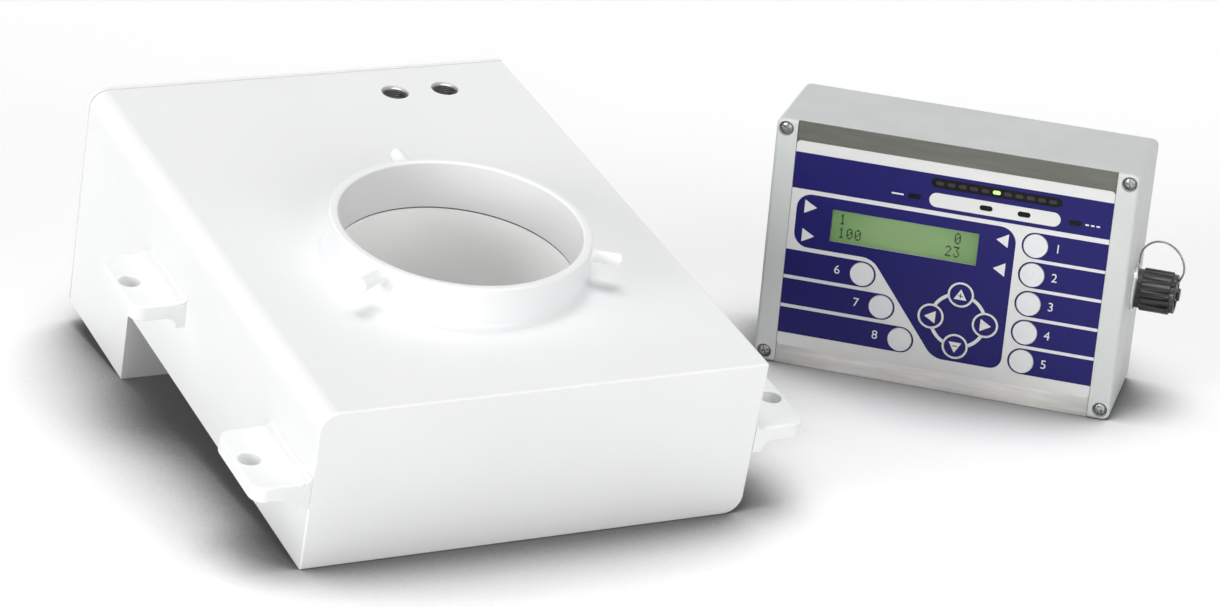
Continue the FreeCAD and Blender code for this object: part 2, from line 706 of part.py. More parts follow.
def seal_ring(width):
    inset = s.box_wall / 2
    outer = box(inset, s.box_width - inset, inset, s.box_height - inset)
    inner = box(inset + width, s.box_width - inset - width, inset + width, s.box_height - inset - width)
    return outer, inner


def round_outside(body, y):
    """Round the box's long edges along its depth, and the edges of one end face."""
    sides, heights = (0, s.box_width), (0, s.box_height)
    corners = any_of(*[edge_at("y", x=x, z=z) for x in sides for z in heights])
    round_edges(body, s.box_round, corners)
    round_edges(body, s.box_face_round, lambda edge: edge.BoundBox.YLength < 0.001
                and abs(edge.BoundBox.YMin - as_size(y).value) < 0.01)


def make_box_base():
    """The rear half: a tray with corner posts, wall fixings and the socket's hole."""
    body = new_body("control_box_base", BOX)
    inside = s.box_depth - s.box_wall
    extrude(body, "y", s.lid_depth, s.box_depth, box(ZERO, s.box_width, ZERO, s.box_height))
    round_outside(body, s.box_depth)
    cut(body, "y", s.lid_depth, inside, notched(s.box_wall, s.post_width))
    cut(body, "y", s.lid_depth, s.lid_depth + s.seal_step, *seal_ring(s.seal_width))
    hole = s.screw_radius + s.screw_clearance
    cut(body, "y", s.lid_depth, s.lid_depth + s.screw_hole_depth,
        *[disc(x, z, hole) for x, z in screw_places])
    extrude(body, "y", inside - s.wall_boss_height, inside,
            *[disc(x, z, s.wall_boss_radius) for x, z in wall_thread_places()])
    cut(body, "y", s.box_depth - s.wall_thread_depth, s.box_depth,
        *[disc(x, z, s.wall_thread_radius) for x, z in wall_thread_places()])
    cut(body, "x", s.box_width - s.box_wall, s.box_width,
        disc(s.socket_back, middle_rise + s.socket_rise, s.socket_radius + s.socket_gap))


def wall_thread_places():
    inset = s.wall_thread_inset
    return [(x, z) for x in (inset, s.box_width - inset) for z in (inset, s.box_height - inset)]


def make_box_lid():
    """The front half: two screw channels beside a recess for the face plate."""
    body = new_body("control_box_lid", BOX)
    extrude(body, "y", ZERO, s.lid_depth, box(ZERO, s.box_width, ZERO, s.box_height))
    round_outside(body, ZERO)
    past = s.box_wall
    cut(body, "y", -past, plate_back,
        box(s.channel_width, s.box_width - s.channel_width, -past, s.box_height + past))
    flange = s.face_opening
    opening = box(s.channel_width + flange, s.box_width - s.channel_width - flange,
                  s.box_wall + flange, s.box_height - s.box_wall - flange)
    cut(body, "y", plate_back, s.lid_depth, opening)
    cut(body, "y", plate_back + s.box_wall, s.lid_depth, notched(s.box_wall, s.channel_width))
    cut(body, "y", s.lid_depth - s.seal_step, s.lid_depth, *seal_ring(s.seal_width))
    hole, well = s.screw_radius + s.screw_clearance, s.screw_well_radius
    seat = s.screw_well_depth
    cut(body, "y", ZERO, seat, *[disc(x, z, well) for x, z in screw_places])
    cut(body, "y", seat, s.lid_depth, *[disc(x, z, hole) for x, z in screw_places])


def make_lid_fixings():
    seal = new_body("lid_seal", BOX)
    extrude(seal, "y", s.lid_depth - s.seal_step, s.lid_depth + s.seal_step, *seal_ring(s.seal_width))
    screws = new_body("lid_screws", BOX)
    seat = s.screw_well_depth
    extrude(screws, "y", seat - s.screw_head_height, seat,
            *[disc(x, z, s.screw_head_radius) for x, z in screw_places])
    extrude(screws, "y", seat, s.lid_depth + s.screw_length,
            *[disc(x, z, s.screw_radius) for x, z in screw_places])
    face = seat - s.screw_head_height
    cut(screws, "y", face, face + s.cross_depth, *[cross(x, z) for x, z in screw_places])


def cross(across, up):
    """The recess for a cross-head driver, its arms upright and level."""
    long, short = s.cross_length / 2, s.cross_width / 2
    corners = ((long, short), (short, short), (short, long), (-short, long), (-short, short), (-long, short),
               (-long, -short), (-short, -short), (-short, -long), (short, -long), (short, -short),
               (long, -short))
    return path(*[(across + side, up + rise) for side, rise in corners])


def key_table():
    """Each key's name, its middle on the face, and its radius."""
    table = []
    for number in range(3):
        across = middle_side + s.left_keys_side + s.left_keys_step * number
        up = middle_rise + s.left_keys_rise - s.left_keys_pitch * number
        table.append((f"key_left_{number + 1}", across, up, s.key_radius))
    for number in range(5):
        up = middle_rise + s.right_keys_rise - s.right_keys_pitch * number
        table.append((f"key_right_{number + 1}", middle_side + s.right_keys_side, up, s.key_radius))
    arrows = (("plus", 0, 1), ("minus", 0, -1), ("back", -1, 0), ("forward", 1, 0))
    for name, across, up in arrows:
        table.append((f"key_{name}", middle_side + s.arrow_side + s.arrow_reach * across,
                      middle_rise + s.arrow_rise + s.arrow_reach * up, s.arrow_key_radius))
    return table


def status_lamps():
    """The four status lamps' middles, from the box's left."""
    sides = (s.status_side_1, s.status_side_2, s.status_side_3, s.status_side_4)
    return [middle_side + side for side in sides]


def status_slots(grow):
    half = s.status_length / 2 - s.status_radius
    return [slot(middle - half, middle + half, middle_rise + s.status_rise, s.status_radius + grow)
            for middle in status_lamps()]


def bar_slot(grow):
    middle, half = middle_side + s.bar_side, s.bar_length / 2 - s.bar_radius
    return slot(middle - half, middle + half, middle_rise + s.bar_rise, s.bar_radius + grow)


def window_box(grow):
    across, up = middle_side + s.window_side, middle_rise + s.window_rise
    wide, tall = s.window_width / 2 + grow, s.window_height / 2 + grow
    return box(across - wide, across + wide, up - tall, up + tall)


def face_openings():
    """What shows through the face plate and the overlay."""
    gap = s.window_gap
    holes = [disc(x, z, radius + s.key_clearance) for name, x, z, radius in key_table()]
    return [window_box(gap), bar_slot(gap), *status_slots(gap), *holes]


def make_face():
    plate = new_body("face_plate", BOX)
    low, high = s.face_gap, s.box_height - s.face_gap
    extrude(plate, "y", plate_front, plate_back, box(plate_left, plate_right, low, high))
    cut(plate, "y", plate_front, plate_back, *face_openings())
    overlay = new_body("keypad_overlay", BOX)
    low, high = s.overlay_margin, s.box_height - s.overlay_margin
    extrude(overlay, "y", overlay_front, plate_front, box(plate_left, plate_right, low, high))
    corners = any_of(*[edge_at("y", x=x, z=z) for x in (plate_left, plate_right) for z in (low, high)])
    round_edges(overlay, s.overlay_round, corners)
    cut(overlay, "y", overlay_front, plate_front, *face_openings())


def make_display():
    pane = new_body("display_window", BOX)
    extrude(pane, "y", overlay_front, plate_back, window_box(ZERO))
    module = new_body("display_module", BOX)
    extrude(module, "y", plate_back, board_front, window_box(s.module_margin))
    board = new_body("display_board", BOX)
    x0, x1 = plate_left + s.board_margin, plate_right - s.board_margin
    z0, z1 = s.board_margin, s.box_height - s.board_margin
    extrude(board, "y", board_front, board_rear, box(x0, x1, z0, z1))
    stems = [disc(x, z, s.key_stem_radius + s.key_clearance) for name, x, z, radius in key_table()]
    cut(board, "y", board_front, board_rear, *stems)
    corner = s.spacer_inset
    spacers = new_body("board_spacers", BOX)
    places = [(x, z) for x in (x0 + corner, x1 - corner) for z in (z0 + corner, z1 - corner)]
    extrude(spacers, "y", plate_back, board_front, *[disc(x, z, s.spacer_radius) for x, z in places])


def make_lamps():
    """A black bar with a row of lamps, one of them lit, and four status lamps."""
    back = overlay_front + s.lamp_depth
    count = int(s.lamp_count.value)
    lit = count // 2
    lamps = []
    for number in range(count):
        middle = middle_side + s.bar_side + s.lamp_pitch * (number - (count - 1) / 2)
        half = s.lamp_width / 2 - s.lamp_height / 2
        lamps.append((middle - half, middle + half))
    level = middle_rise + s.bar_rise
    bar = new_body("lamp_bar", BOX)
    extrude(bar, "y", overlay_front, back, bar_slot(ZERO))
    holes = [slot(x0, x1, level, s.lamp_height / 2 + s.window_gap) for x0, x1 in lamps]
    cut(bar, "y", overlay_front, back, *holes)
    chips = [slot(x0, x1, level, s.lamp_height / 2) for x0, x1 in lamps]
    dark = new_body("bar_lamps", BOX)
    extrude(dark, "y", overlay_front, back, *(chips[:lit] + chips[lit + 1:]))
    extrude(new_body("bar_lamp_lit", BOX), "y", overlay_front, back, chips[lit])
    extrude(new_body("status_lamps", BOX), "y", overlay_front, back, *status_slots(ZERO))


def make_key(name, across, up, radius):
    """A key's cap in its hole, a flange behind the plate and a stem in the board."""
    body = new_body(name, BOX)
    flange_front = plate_back + s.key_play
    flange_back = flange_front + s.key_flange_plate
    face = overlay_front - s.key_travel
    extrude(body, "y", face, flange_front, disc(across, up, radius))
    round_edges(body, s.key_round, lambda edge: edge.BoundBox.YLength < 0.001
                and abs(edge.BoundBox.YMin - face.value) < 0.01)
    extrude(body, "y", flange_front, flange_back, disc(across, up, radius + s.key_flange))
    extrude(body, "y", flange_back, board_front + s.board_plate / 2, disc(across, up, s.key_stem_radius))


# The socket's frame: origin where its axis meets the box's right side, X outwards
socket_place = Vector(s.box_width.value, s.socket_back.value, (middle_rise + s.socket_rise).value)
SOCKET = BOX.multiply(Placement(socket_place, Rotation()))

ring_start = s.nut_plate
cap_start = ring_start + s.ring_plate + s.cap_gap
ribs_start = cap_start + s.cap_neck_length
ribs_end = ribs_start + s.cap_length
cap_end = ribs_end + s.cap_rim_length
cap_face = cap_end - s.cap_dish
eye_start = cap_face + s.cap_gap
stud_start = eye_start + s.eye_plate + s.cap_gap
barrel_bore = s.socket_radius + s.cap_gap


def make_socket():
    shell = new_body("socket_shell", SOCKET)
    wall = -s.box_wall
    extrude(shell, "x", wall - s.socket_flange, wall, disc(0, 0, s.socket_flange_radius))
    extrude(shell, "x", wall, s.socket_reach, disc(0, 0, s.socket_radius))
    extrude(shell, "x", wall - s.socket_inside, wall - s.socket_flange, disc(0, 0, s.socket_radius))
    nut = new_body("socket_nut", SOCKET)
    hole = disc(0, 0, s.socket_radius + s.socket_gap)
    extrude(nut, "x", ZERO, s.nut_plate, disc(0, 0, s.nut_radius), hole)
    round_edges(nut, s.nut_round, round_edge_at(s.nut_plate, s.nut_radius))


def round_edge_at(place, radius):
    """A test for a round edge of a radius, at a place along the socket's axis."""
    def test(edge):
        bounds = edge.BoundBox
        return bounds.XLength < 0.01 and abs(bounds.XMin - place.value) < 0.01 \
            and abs(bounds.ZLength - 2 * radius.value) < 0.01
    return test


def make_cap():
    """The ribbed dust cap; it turns on the barrel and stays on its lanyard."""
    cap = new_body("dust_cap", SOCKET)
    extrude(cap, "x", cap_start, ribs_start, disc(0, 0, s.cap_neck_radius))
    extrude(cap, "x", ribs_start, ribs_end, disc(0, 0, s.cap_radius))
    extrude(cap, "x", ribs_end, cap_end, disc(0, 0, s.cap_rim_radius))
    ends = any_of(round_edge_at(ribs_start, s.cap_radius), round_edge_at(ribs_end, s.cap_radius))
    round_edges(cap, s.rib_round, ends)
    cut(cap, "x", cap_start, s.socket_reach + s.cap_gap, disc(0, 0, barrel_bore))
    cut(cap, "x", cap_face, cap_end, disc(0, 0, s.cap_dish_radius))
    cut(cap, "x", s.socket_reach + s.cap_gap, cap_face, disc(0, 0, s.stud_neck_radius + s.cap_gap))
    groove_axis = s.cap_radius + s.rib_cut - s.rib_depth
    groove = cut(cap, "x", ribs_start, ribs_end, disc(0, groove_axis, s.rib_cut))
    repeat_round(cap, groove, "X_Axis", s.rib_count.value)
    stud = new_body("cap_stud", SOCKET)
    extrude(stud, "x", s.socket_reach, stud_start, disc(0, 0, s.stud_neck_radius))
    extrude(stud, "x", stud_start, stud_start + s.stud_head, disc(0, 0, s.stud_radius))
    round_edges(stud, s.stud_round, round_edge_at(stud_start + s.stud_head, s.stud_radius))


def make_lanyard():
    """A ring on the barrel and an eye on the stud, joined by a stiff loop of wire."""
    ring = new_body("lanyard_ring", SOCKET)
    ring_end = ring_start + s.ring_plate
    half = s.ring_tab_width / 2
    extrude(ring, "x", ring_start, ring_end, disc(0, 0, s.ring_radius))
    extrude(ring, "x", ring_start, ring_end, box(-half, half, ZERO, s.ring_tab_reach))
    cut(ring, "x", ring_start, ring_end, disc(0, 0, s.socket_radius + s.socket_gap))
    eye = new_body("lanyard_eye", SOCKET)
    eye_end = eye_start + s.eye_plate
    neck = s.eye_neck_width / 2
    top = s.eye_radius + s.eye_neck
    extrude(eye, "x", eye_start, eye_end, disc(0, 0, s.eye_radius))
    extrude(eye, "x", eye_start, eye_end, box(-neck, neck, ZERO, top))
    cut(eye, "x", eye_start, eye_end, disc(0, 0, s.stud_neck_radius + s.socket_gap))
    wire_start = (ring_start + s.ring_plate / 2, s.ring_tab_reach)
    wire_end = ((eye_start + eye_end) / 2, top + s.wire_radius / 2)
    make_wire(wire_start, wire_end)


# The loop's corners between its two ends, as shares of its reach and of its rise
LOOP = ((0.05, 0.71), (0.16, 0.88), (0.34, 0.99), (0.56, 1), (0.76, 0.91), (0.91, 0.77), (1, 0.58), (1, 0.38))
# The part of the shorter leg at a corner that its arc takes
ARC_SHARE = 0.45


def make_wire(start, end):
    """The lanyard as straight runs joined by the largest arcs that fit."""
    loop = [(s.loop_reach * out, s.loop_rise * up) for out, up in LOOP]
    points = [Vector(out.value, 0, up.value) for out, up in (start, *loop, end)]
    edges, here = [], points[0]
    radii = []
    for before, corner, after in zip(points, points[1:], points[2:]):
        back, ahead = before - corner, after - corner
        shorter = min(back.Length, ahead.Length)
        turn = math.pi - back.getAngle(ahead)
        trim = ARC_SHARE * shorter
        radius = trim / math.tan(turn / 2)
        radii.append(radius)
        back.normalize()
        ahead.normalize()
        entry, leave = corner + back * trim, corner + ahead * trim
        inward = (back + ahead).normalize()
        middle = corner + inward * (math.hypot(trim, radius) - radius)
        edges.append(Part.LineSegment(here, entry).toShape())
        edges.append(Part.Arc(entry, middle, leave).toShape())
        here = leave
    edges.append(Part.LineSegment(here, points[-1]).toShape())
    route = Part.Wire(edges)
    first = edges[0].tangentAt(edges[0].FirstParameter)
    section = Part.Wire([Part.Circle(points[0], first, s.wire_radius.value).toShape()])
    tube = route.makePipeShell([section], True, True)
    wire = doc.addObject("Part::Feature", "lanyard_wire")
    wire.Label = "lanyard_wire"
    wire.Shape = tube
    wire.Placement = SOCKET
    PIECES.append(wire)
    expected = math.pi * s.wire_radius.value ** 2 * route.Length
    print(f"lanyard length {route.Length:.1f} mm, smallest radius {min(radii):.1f} mm,",
          f"volume {tube.Volume / expected:.4f} of section times length")


def build_head():
    make_top_sheet()
    make_left_sheet()
    make_bottom_sheet()
    make_front_plate()
    make_bay()
    make_rear_cover()
    make_tabs()
    make_collar()
    make_liner()
    make_coils()
    make_head_board()
    make_conduit_bosses()


def build_control_box():
    make_box_base()
    make_box_lid()
    make_lid_fixings()
    make_face()
    make_display()
    make_lamps()
    for key in key_table():
        make_key(*key)
    make_socket()
    make_cap()
    make_lanyard()


def write_pieces():
    """Check every object and piece, then write one file per piece."""
    failed = [item.Label for item in doc.Objects if {"Invalid", "Error"} & set(item.State)]
    failed += [piece.Label for piece in PIECES if piece.Shape.isNull() or not piece.Shape.isValid()]
    if failed:
        raise ValueError(f"these failed: {failed}")
    os.makedirs("parts", exist_ok=True)
    for piece in PIECES:
        piece.Shape.exportStep(f"parts/{piece.Label}.step")
    whole = Part.makeCompound([piece.Shape for piece in PIECES]).BoundBox
    print(f"{len(PIECES)} pieces, x {whole.XMin:.2f} to {whole.XMax:.2f},",
          f"y {whole.YMin:.2f} to {whole.YMax:.2f}, z {whole.ZMin:.3f} to {whole.ZMax:.2f}")


build_head()
build_control_box()
doc.recompute()
write_pieces()
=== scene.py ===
# %% [markdown]
# # A metal detector for product that falls down a pipe
# Two units stand on a pale floor. The search head is a flat steel case round a
# vertical aperture, and the control box has a steel face with a printed keypad.
# The imported CAD model comes in first, as the frame that every new piece is fitted to.

# %% Load the imported model
import math
from contextlib import contextmanager

import bmesh
import bpy
from mathutils import Matrix, Vector


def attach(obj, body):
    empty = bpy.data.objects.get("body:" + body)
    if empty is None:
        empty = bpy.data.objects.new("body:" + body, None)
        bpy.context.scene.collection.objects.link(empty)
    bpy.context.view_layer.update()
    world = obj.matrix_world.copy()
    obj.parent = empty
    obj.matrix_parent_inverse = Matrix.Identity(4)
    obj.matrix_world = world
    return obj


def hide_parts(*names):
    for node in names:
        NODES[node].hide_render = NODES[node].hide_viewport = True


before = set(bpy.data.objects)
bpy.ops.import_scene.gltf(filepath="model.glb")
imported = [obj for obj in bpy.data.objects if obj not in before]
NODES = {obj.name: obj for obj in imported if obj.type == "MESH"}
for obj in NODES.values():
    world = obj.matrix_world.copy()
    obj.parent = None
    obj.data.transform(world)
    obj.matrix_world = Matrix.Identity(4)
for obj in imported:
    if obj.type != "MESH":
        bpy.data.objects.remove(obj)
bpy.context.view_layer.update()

bpy.ops.object.select_all(action="DESELECT")

# %% [markdown]
# Each unit is easiest to model standing straight, in millimetres, in a frame of its
# own. The head leans forward on two of its edges, and the control box is turned on
# the floor, so a matrix for each carries finished pieces to their place in metres.

# %% The units' own frames
MM = 0.001
LEAN = math.atan2(155 - 106, 144 + 150)
HEAD_LIFT = 150 * math.sin(LEAN) + 106 * math.cos(LEAN)


def frame_at(x, y, z, degrees, axis):
    """Carries millimetres in a unit's own frame to metres in the row frame."""
    turn = Matrix.Rotation(math.radians(degrees), 4, axis)
    return Matrix.Scale(MM, 4) @ Matrix.Translation((x, y, z)) @ turn


def shift(x, y, z):
    return Matrix.Translation((x, y, z))


HEAD = frame_at(-161.3, -62, HEAD_LIFT, math.degrees(LEAN), "X")
BOX = frame_at(107.7, 28, 0, -42, "Z")
SOCKET = BOX @ shift(240, 44, 79)
FACING = Matrix.Rotation(math.radians(90), 4, "X")
REARWARD = Matrix.Rotation(math.radians(-90), 4, "X")
SIDEWAYS = Matrix.Rotation(math.radians(90), 4, "Y")
FACE = BOX @ shift(0, 0.7, 0) @ FACING
print("the head leans", round(math.degrees(LEAN), 2), "degrees")

# %% [markdown]
# The photograph was taken from the front left and above, with a long lens. Matching
# the aperture's ellipses and the case's edges gave the lens and the camera's place.
# The camera's three directions are the columns of its matrix.

# %% Camera
bpy.ops.object.camera_add()
camera = bpy.context.object
camera.data.sensor_width = 36
camera.data.lens = 120.94
right = Vector((0.89192, -0.44492, 0.08072))
down = Vector((-0.09356, -0.35625, -0.92970))
forward = Vector((0.44240, 0.82167, -0.35937))
turned_camera = Matrix((right, -down, -forward)).transposed().to_4x4()
camera.matrix_world = shift(-1.1839, -2.1638, 1.0092) @ turned_camera
bpy.context.scene.camera = camera
print("camera with a", round(camera.data.lens, 1), "mm lens")

# %% [markdown]
# The dust cap hangs on a loop of springy stainless wire, from a ring on the socket
# to an eye on the cap's stud. A wire is a smooth line with a thickness, so it is a
# NURBS curve through the same corners as the CAD wire, with a round bevel. The
# bevel is in millimetres, and the radius of every point brings it down to metres.

# %% Lanyard wire
LOOP_SHARES = [(0.05, 0.71), (0.16, 0.88), (0.34, 0.99), (0.56, 1), (0.76, 0.91), (0.91, 0.77), (1, 0.58), (1, 0.38)]
LOOP_REACH, LOOP_RISE = 31.4, 34.6
RING_TOP, EYE_TOP = (2.1, 17.6), (27.8, 6.65)
LOOP = [RING_TOP, *[(LOOP_REACH * out, LOOP_RISE * up) for out, up in LOOP_SHARES], EYE_TOP]
WIRE_RADIUS = 0.7
loop_points = [SOCKET @ Vector((out, 0, up)) for out, up in LOOP]
loop_curve = bpy.data.curves.new("lanyard_loop", "CURVE")
loop_curve.dimensions = "3D"
loop_curve.bevel_depth = WIRE_RADIUS
loop_curve.bevel_resolution = 4
loop_curve.resolution_u = 16
loop_curve.use_fill_caps = True
loop_line = loop_curve.splines.new("NURBS")
loop_line.points.add(len(loop_points) - 1)
for point, place in zip(loop_line.points, loop_points):
    point.co = (*place, 1)
    point.radius = MM
loop_line.order_u = 3
loop_line.use_endpoint_u = True
lanyard = bpy.data.objects.new("lanyard_loop", loop_curve)
bpy.context.scene.collection.objects.link(lanyard)
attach(lanyard, "control_unit")
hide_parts("lanyard_wire")
print("lanyard through", len(loop_points), "points")

# %% [markdown]
# The floor is a plain white sheet that runs out of the picture. Near the objects its
# colour is darkened by how much of the surroundings they hide from it, which Ambient
# Occlusion gives. That darkening is painted shade, which deepens their contact shadows.
# The sky that the camera, a mirror or a clear pane sees is plain white.

# %% Floor and surroundings
def seen_directly(tree):
    """1 for what the camera sees, also in a mirror or through a clear pane."""
    path = tree.nodes.new("ShaderNodeLightPath")
    total = path.outputs["Is Camera Ray"]
    for name in ("Is Glossy Ray", "Is Transmission Ray"):
        larger = tree.nodes.new("ShaderNodeMath")
        larger.operation = "MAXIMUM"
        tree.links.new(total, larger.inputs[0])
        tree.links.new(path.outputs[name], larger.inputs[1])
        total = larger.outputs[0]
    return total


def scaled(tree, value, factor, plus=0.0):
    node = tree.nodes.new("ShaderNodeMath")
    node.operation = "MULTIPLY_ADD"
    tree.links.new(value, node.inputs[0])
    node.inputs[1].default_value = factor
    node.inputs[2].default_value = plus
    return node.outputs[0]


bpy.ops.mesh.primitive_plane_add(size=14)
floor = bpy.context.object
floor.name = "floor"
floor_paint = bpy.data.materials.new("floor_paint")
floor_paint.use_nodes = True
floor_tree = floor_paint.node_tree
floor_shader = floor_tree.nodes["Principled BSDF"]
floor_shader.inputs["Roughness"].default_value = 0.9
floor_shader.inputs["Specular IOR Level"].default_value = 0.1
openness = floor_tree.nodes.new("ShaderNodeAmbientOcclusion")
openness.inputs["Distance"].default_value = 0.15
openness.samples = 16
# painted shade: the floor's colour darkens where the objects hide it from its surroundings
painted_contact_shade = floor_tree.nodes.new("ShaderNodeValToRGB")
for element, place, grey in zip(painted_contact_shade.color_ramp.elements, (0.45, 0.84), (0.14, 0.97)):
    element.position = place
    element.color = (grey, grey, grey, 1)
floor_tree.links.new(openness.outputs["AO"], painted_contact_shade.inputs["Fac"])
floor_tree.links.new(painted_contact_shade.outputs["Color"], floor_shader.inputs["Base Color"])
floor_tree.links.new(painted_contact_shade.outputs["Color"], floor_shader.inputs["Emission Color"])
floor_lift = scaled(floor_tree, seen_directly(floor_tree), 0.14)
floor_tree.links.new(floor_lift, floor_shader.inputs["Emission Strength"])
floor.data.materials.append(floor_paint)

SKY_LIGHT = 0.24
world = bpy.data.worlds.new("studio")
world.use_nodes = True
world_tree = world.node_tree
sky = world_tree.nodes["Background"]
sky.inputs["Color"].default_value = (1, 1, 1, 1)
sky_strength = scaled(world_tree, seen_directly(world_tree), 1 - SKY_LIGHT, SKY_LIGHT)
world_tree.links.new(sky_strength, sky.inputs["Strength"])
bpy.context.scene.world = world
bpy.context.scene.view_settings.view_transform = "Standard"
print("floor", floor.dimensions[0], "m wide")

# %% [markdown]
# Three broad lights stand far off. The main one is nearly overhead, so that the soft
# shadows lie close round the feet and light falls into the aperture. Two low ones, at
# the left and in front, light the faces that look at the camera but only graze the
# floor, which keeps the shadows on it deep. They are suns with a wide angle, and unlike
# nearby softboxes they light the whole floor evenly.

# %% Lights of the studio
def broad_light(name, towards, strength, degrees):
    """A sun that shines from a direction, as wide as a softbox looks from there."""
    bpy.ops.object.light_add(type="SUN", location=Vector(towards) * 2)
    lamp = bpy.context.object
    lamp.name = name
    lamp.data.energy = strength
    lamp.data.angle = math.radians(degrees)
    lamp.rotation_mode = "QUATERNION"
    lamp.rotation_quaternion = Vector(towards).to_track_quat("Z", "Y")
    print(name, strength)


broad_light("light_above", (-0.02, -0.04, 1.0), 1.55, 35)
broad_light("light_left", (-0.95, -0.25, 0.18), 1.75, 30)
broad_light("light_front", (0.12, -0.97, 0.18), 1.0, 30)

# %% [markdown]
# A finish is a Principled shader whose plain values sit on its own sockets, with
# patterns from noise for what varies: mottling of the colour, patches that shine more
# or less, and a fine relief. A pattern is laid out in the piece's own frame and in
# millimetres, so brushing runs along the plate however it is turned.

# %% Helpers for finishes
def new_finish(name, colour, roughness, metallic=0.0):
    finish = bpy.data.materials.new(name)
    finish.use_nodes = True
    shader = finish.node_tree.nodes["Principled BSDF"]
    shader.inputs["Base Color"].default_value = (*colour, 1)
    shader.inputs["Roughness"].default_value = roughness
    shader.inputs["Metallic"].default_value = metallic
    return finish


def socket_of(finish, name):
    return finish.node_tree.nodes["Principled BSDF"].inputs[name]


def laid_out(finish, place, sizes):
    """Object coordinates in a unit's frame, divided by a grain size along each axis."""
    nodes = finish.node_tree.nodes
    source = nodes.new("ShaderNodeTexCoord")
    layout = nodes.new("ShaderNodeMapping")
    layout.vector_type = "TEXTURE"
    location, rotation, scale = place.decompose()
    layout.inputs["Location"].default_value = location
    layout.inputs["Rotation"].default_value = rotation.to_euler()
    layout.inputs["Scale"].default_value = [size * MM for size in sizes]
    finish.node_tree.links.new(source.outputs["Object"], layout.inputs["Vector"])
    return layout.outputs["Vector"]


def noise(finish, place, sizes, detail=2.0):
    texture = finish.node_tree.nodes.new("ShaderNodeTexNoise")
    texture.inputs["Scale"].default_value = 1.0
    texture.inputs["Detail"].default_value = detail
    vector = laid_out(finish, place, sizes)
    finish.node_tree.links.new(vector, texture.inputs["Vector"])
    return texture.outputs["Fac"]


def mottle(finish, pattern, low, high, name="Base Color"):
    """Run a colour from low to high with a pattern."""
    ramp = finish.node_tree.nodes.new("ShaderNodeValToRGB")
    for element, place, colour in zip(ramp.color_ramp.elements, (0.3, 0.7), (low, high)):
        element.position = place
        element.color = (*colour, 1)
    finish.node_tree.links.new(pattern, ramp.inputs["Fac"])
    finish.node_tree.links.new(ramp.outputs["Color"], socket_of(finish, name))


def paint_shade(finish, pattern, low, high):
    """Paint shade: multiply the colour that a finish has by one that runs with a pattern."""
    blend = finish.node_tree.nodes.new("ShaderNodeMixRGB")
    blend.blend_type = "MULTIPLY"
    blend.inputs["Fac"].default_value = 1.0
    colour = socket_of(finish, "Base Color")
    finish.node_tree.links.new(colour.links[0].from_socket, blend.inputs["Color1"])
    mottle(finish, pattern, low, high)
    finish.node_tree.links.new(colour.links[0].from_socket, blend.inputs["Color2"])
    finish.node_tree.links.new(blend.outputs["Color"], colour)


def distance(finish, place, sizes):
    """A pattern that falls from 1 at a place to 0 at the given sizes away from it."""
    gradient = finish.node_tree.nodes.new("ShaderNodeTexGradient")
    gradient.gradient_type = "SPHERICAL"
    vector = laid_out(finish, place, sizes)
    finish.node_tree.links.new(vector, gradient.inputs["Vector"])
    return gradient.outputs["Fac"]


def patchy(finish, pattern, low, high):
    """Run the roughness from low to high with a pattern."""
    spread = finish.node_tree.nodes.new("ShaderNodeMapRange")
    for name, value in (("From Min", 0.3), ("From Max", 0.7), ("To Min", low), ("To Max", high)):
        spread.inputs[name].default_value = value
    finish.node_tree.links.new(pattern, spread.inputs["Value"])
    finish.node_tree.links.new(spread.outputs["Result"], socket_of(finish, "Roughness"))


def relief(finish, pattern, height):
    """Raise the surface with a pattern, by a height in millimetres, over earlier reliefs."""
    bump = finish.node_tree.nodes.new("ShaderNodeBump")
    bump.inputs["Distance"].default_value = height * MM
    normal = socket_of(finish, "Normal")
    if normal.is_linked:
        finish.node_tree.links.new(normal.links[0].from_socket, bump.inputs["Normal"])
    finish.node_tree.links.new(pattern, bump.inputs["Height"])
    finish.node_tree.links.new(bump.outputs["Normal"], normal)


def between(colour, amount):
    """The same colour a little darker and a little lighter."""
    return [value * (1 - amount) for value in colour], [min(value * (1 + amount), 1) for value in colour]


def moulded(name, colour, place, roughness, grain, height, tone=0.03):
    """A painted or moulded surface: faint mottling, uneven shine and a fine grain."""
    finish = new_finish(name, colour, roughness)
    mottle(finish, noise(finish, place, (45, 45, 45)), *between(colour, tone))
    patchy(finish, noise(finish, place, (14, 14, 14), 4), roughness * 0.85, roughness * 1.2)
    relief(finish, noise(finish, place, (grain,) * 3), height)
    return finish


def metal(name, colour, place, roughness, sizes, height):
    """Bare metal whose grain is drawn out along its longest size."""
    finish = new_finish(name, colour, roughness, 1.0)
    grain = noise(finish, place, sizes, 5)
    mottle(finish, grain, *between(colour, 0.12))
    patchy(finish, grain, roughness * 0.75, roughness * 1.3)
    relief(finish, grain, height)
    return finish


print("finish helpers ready")
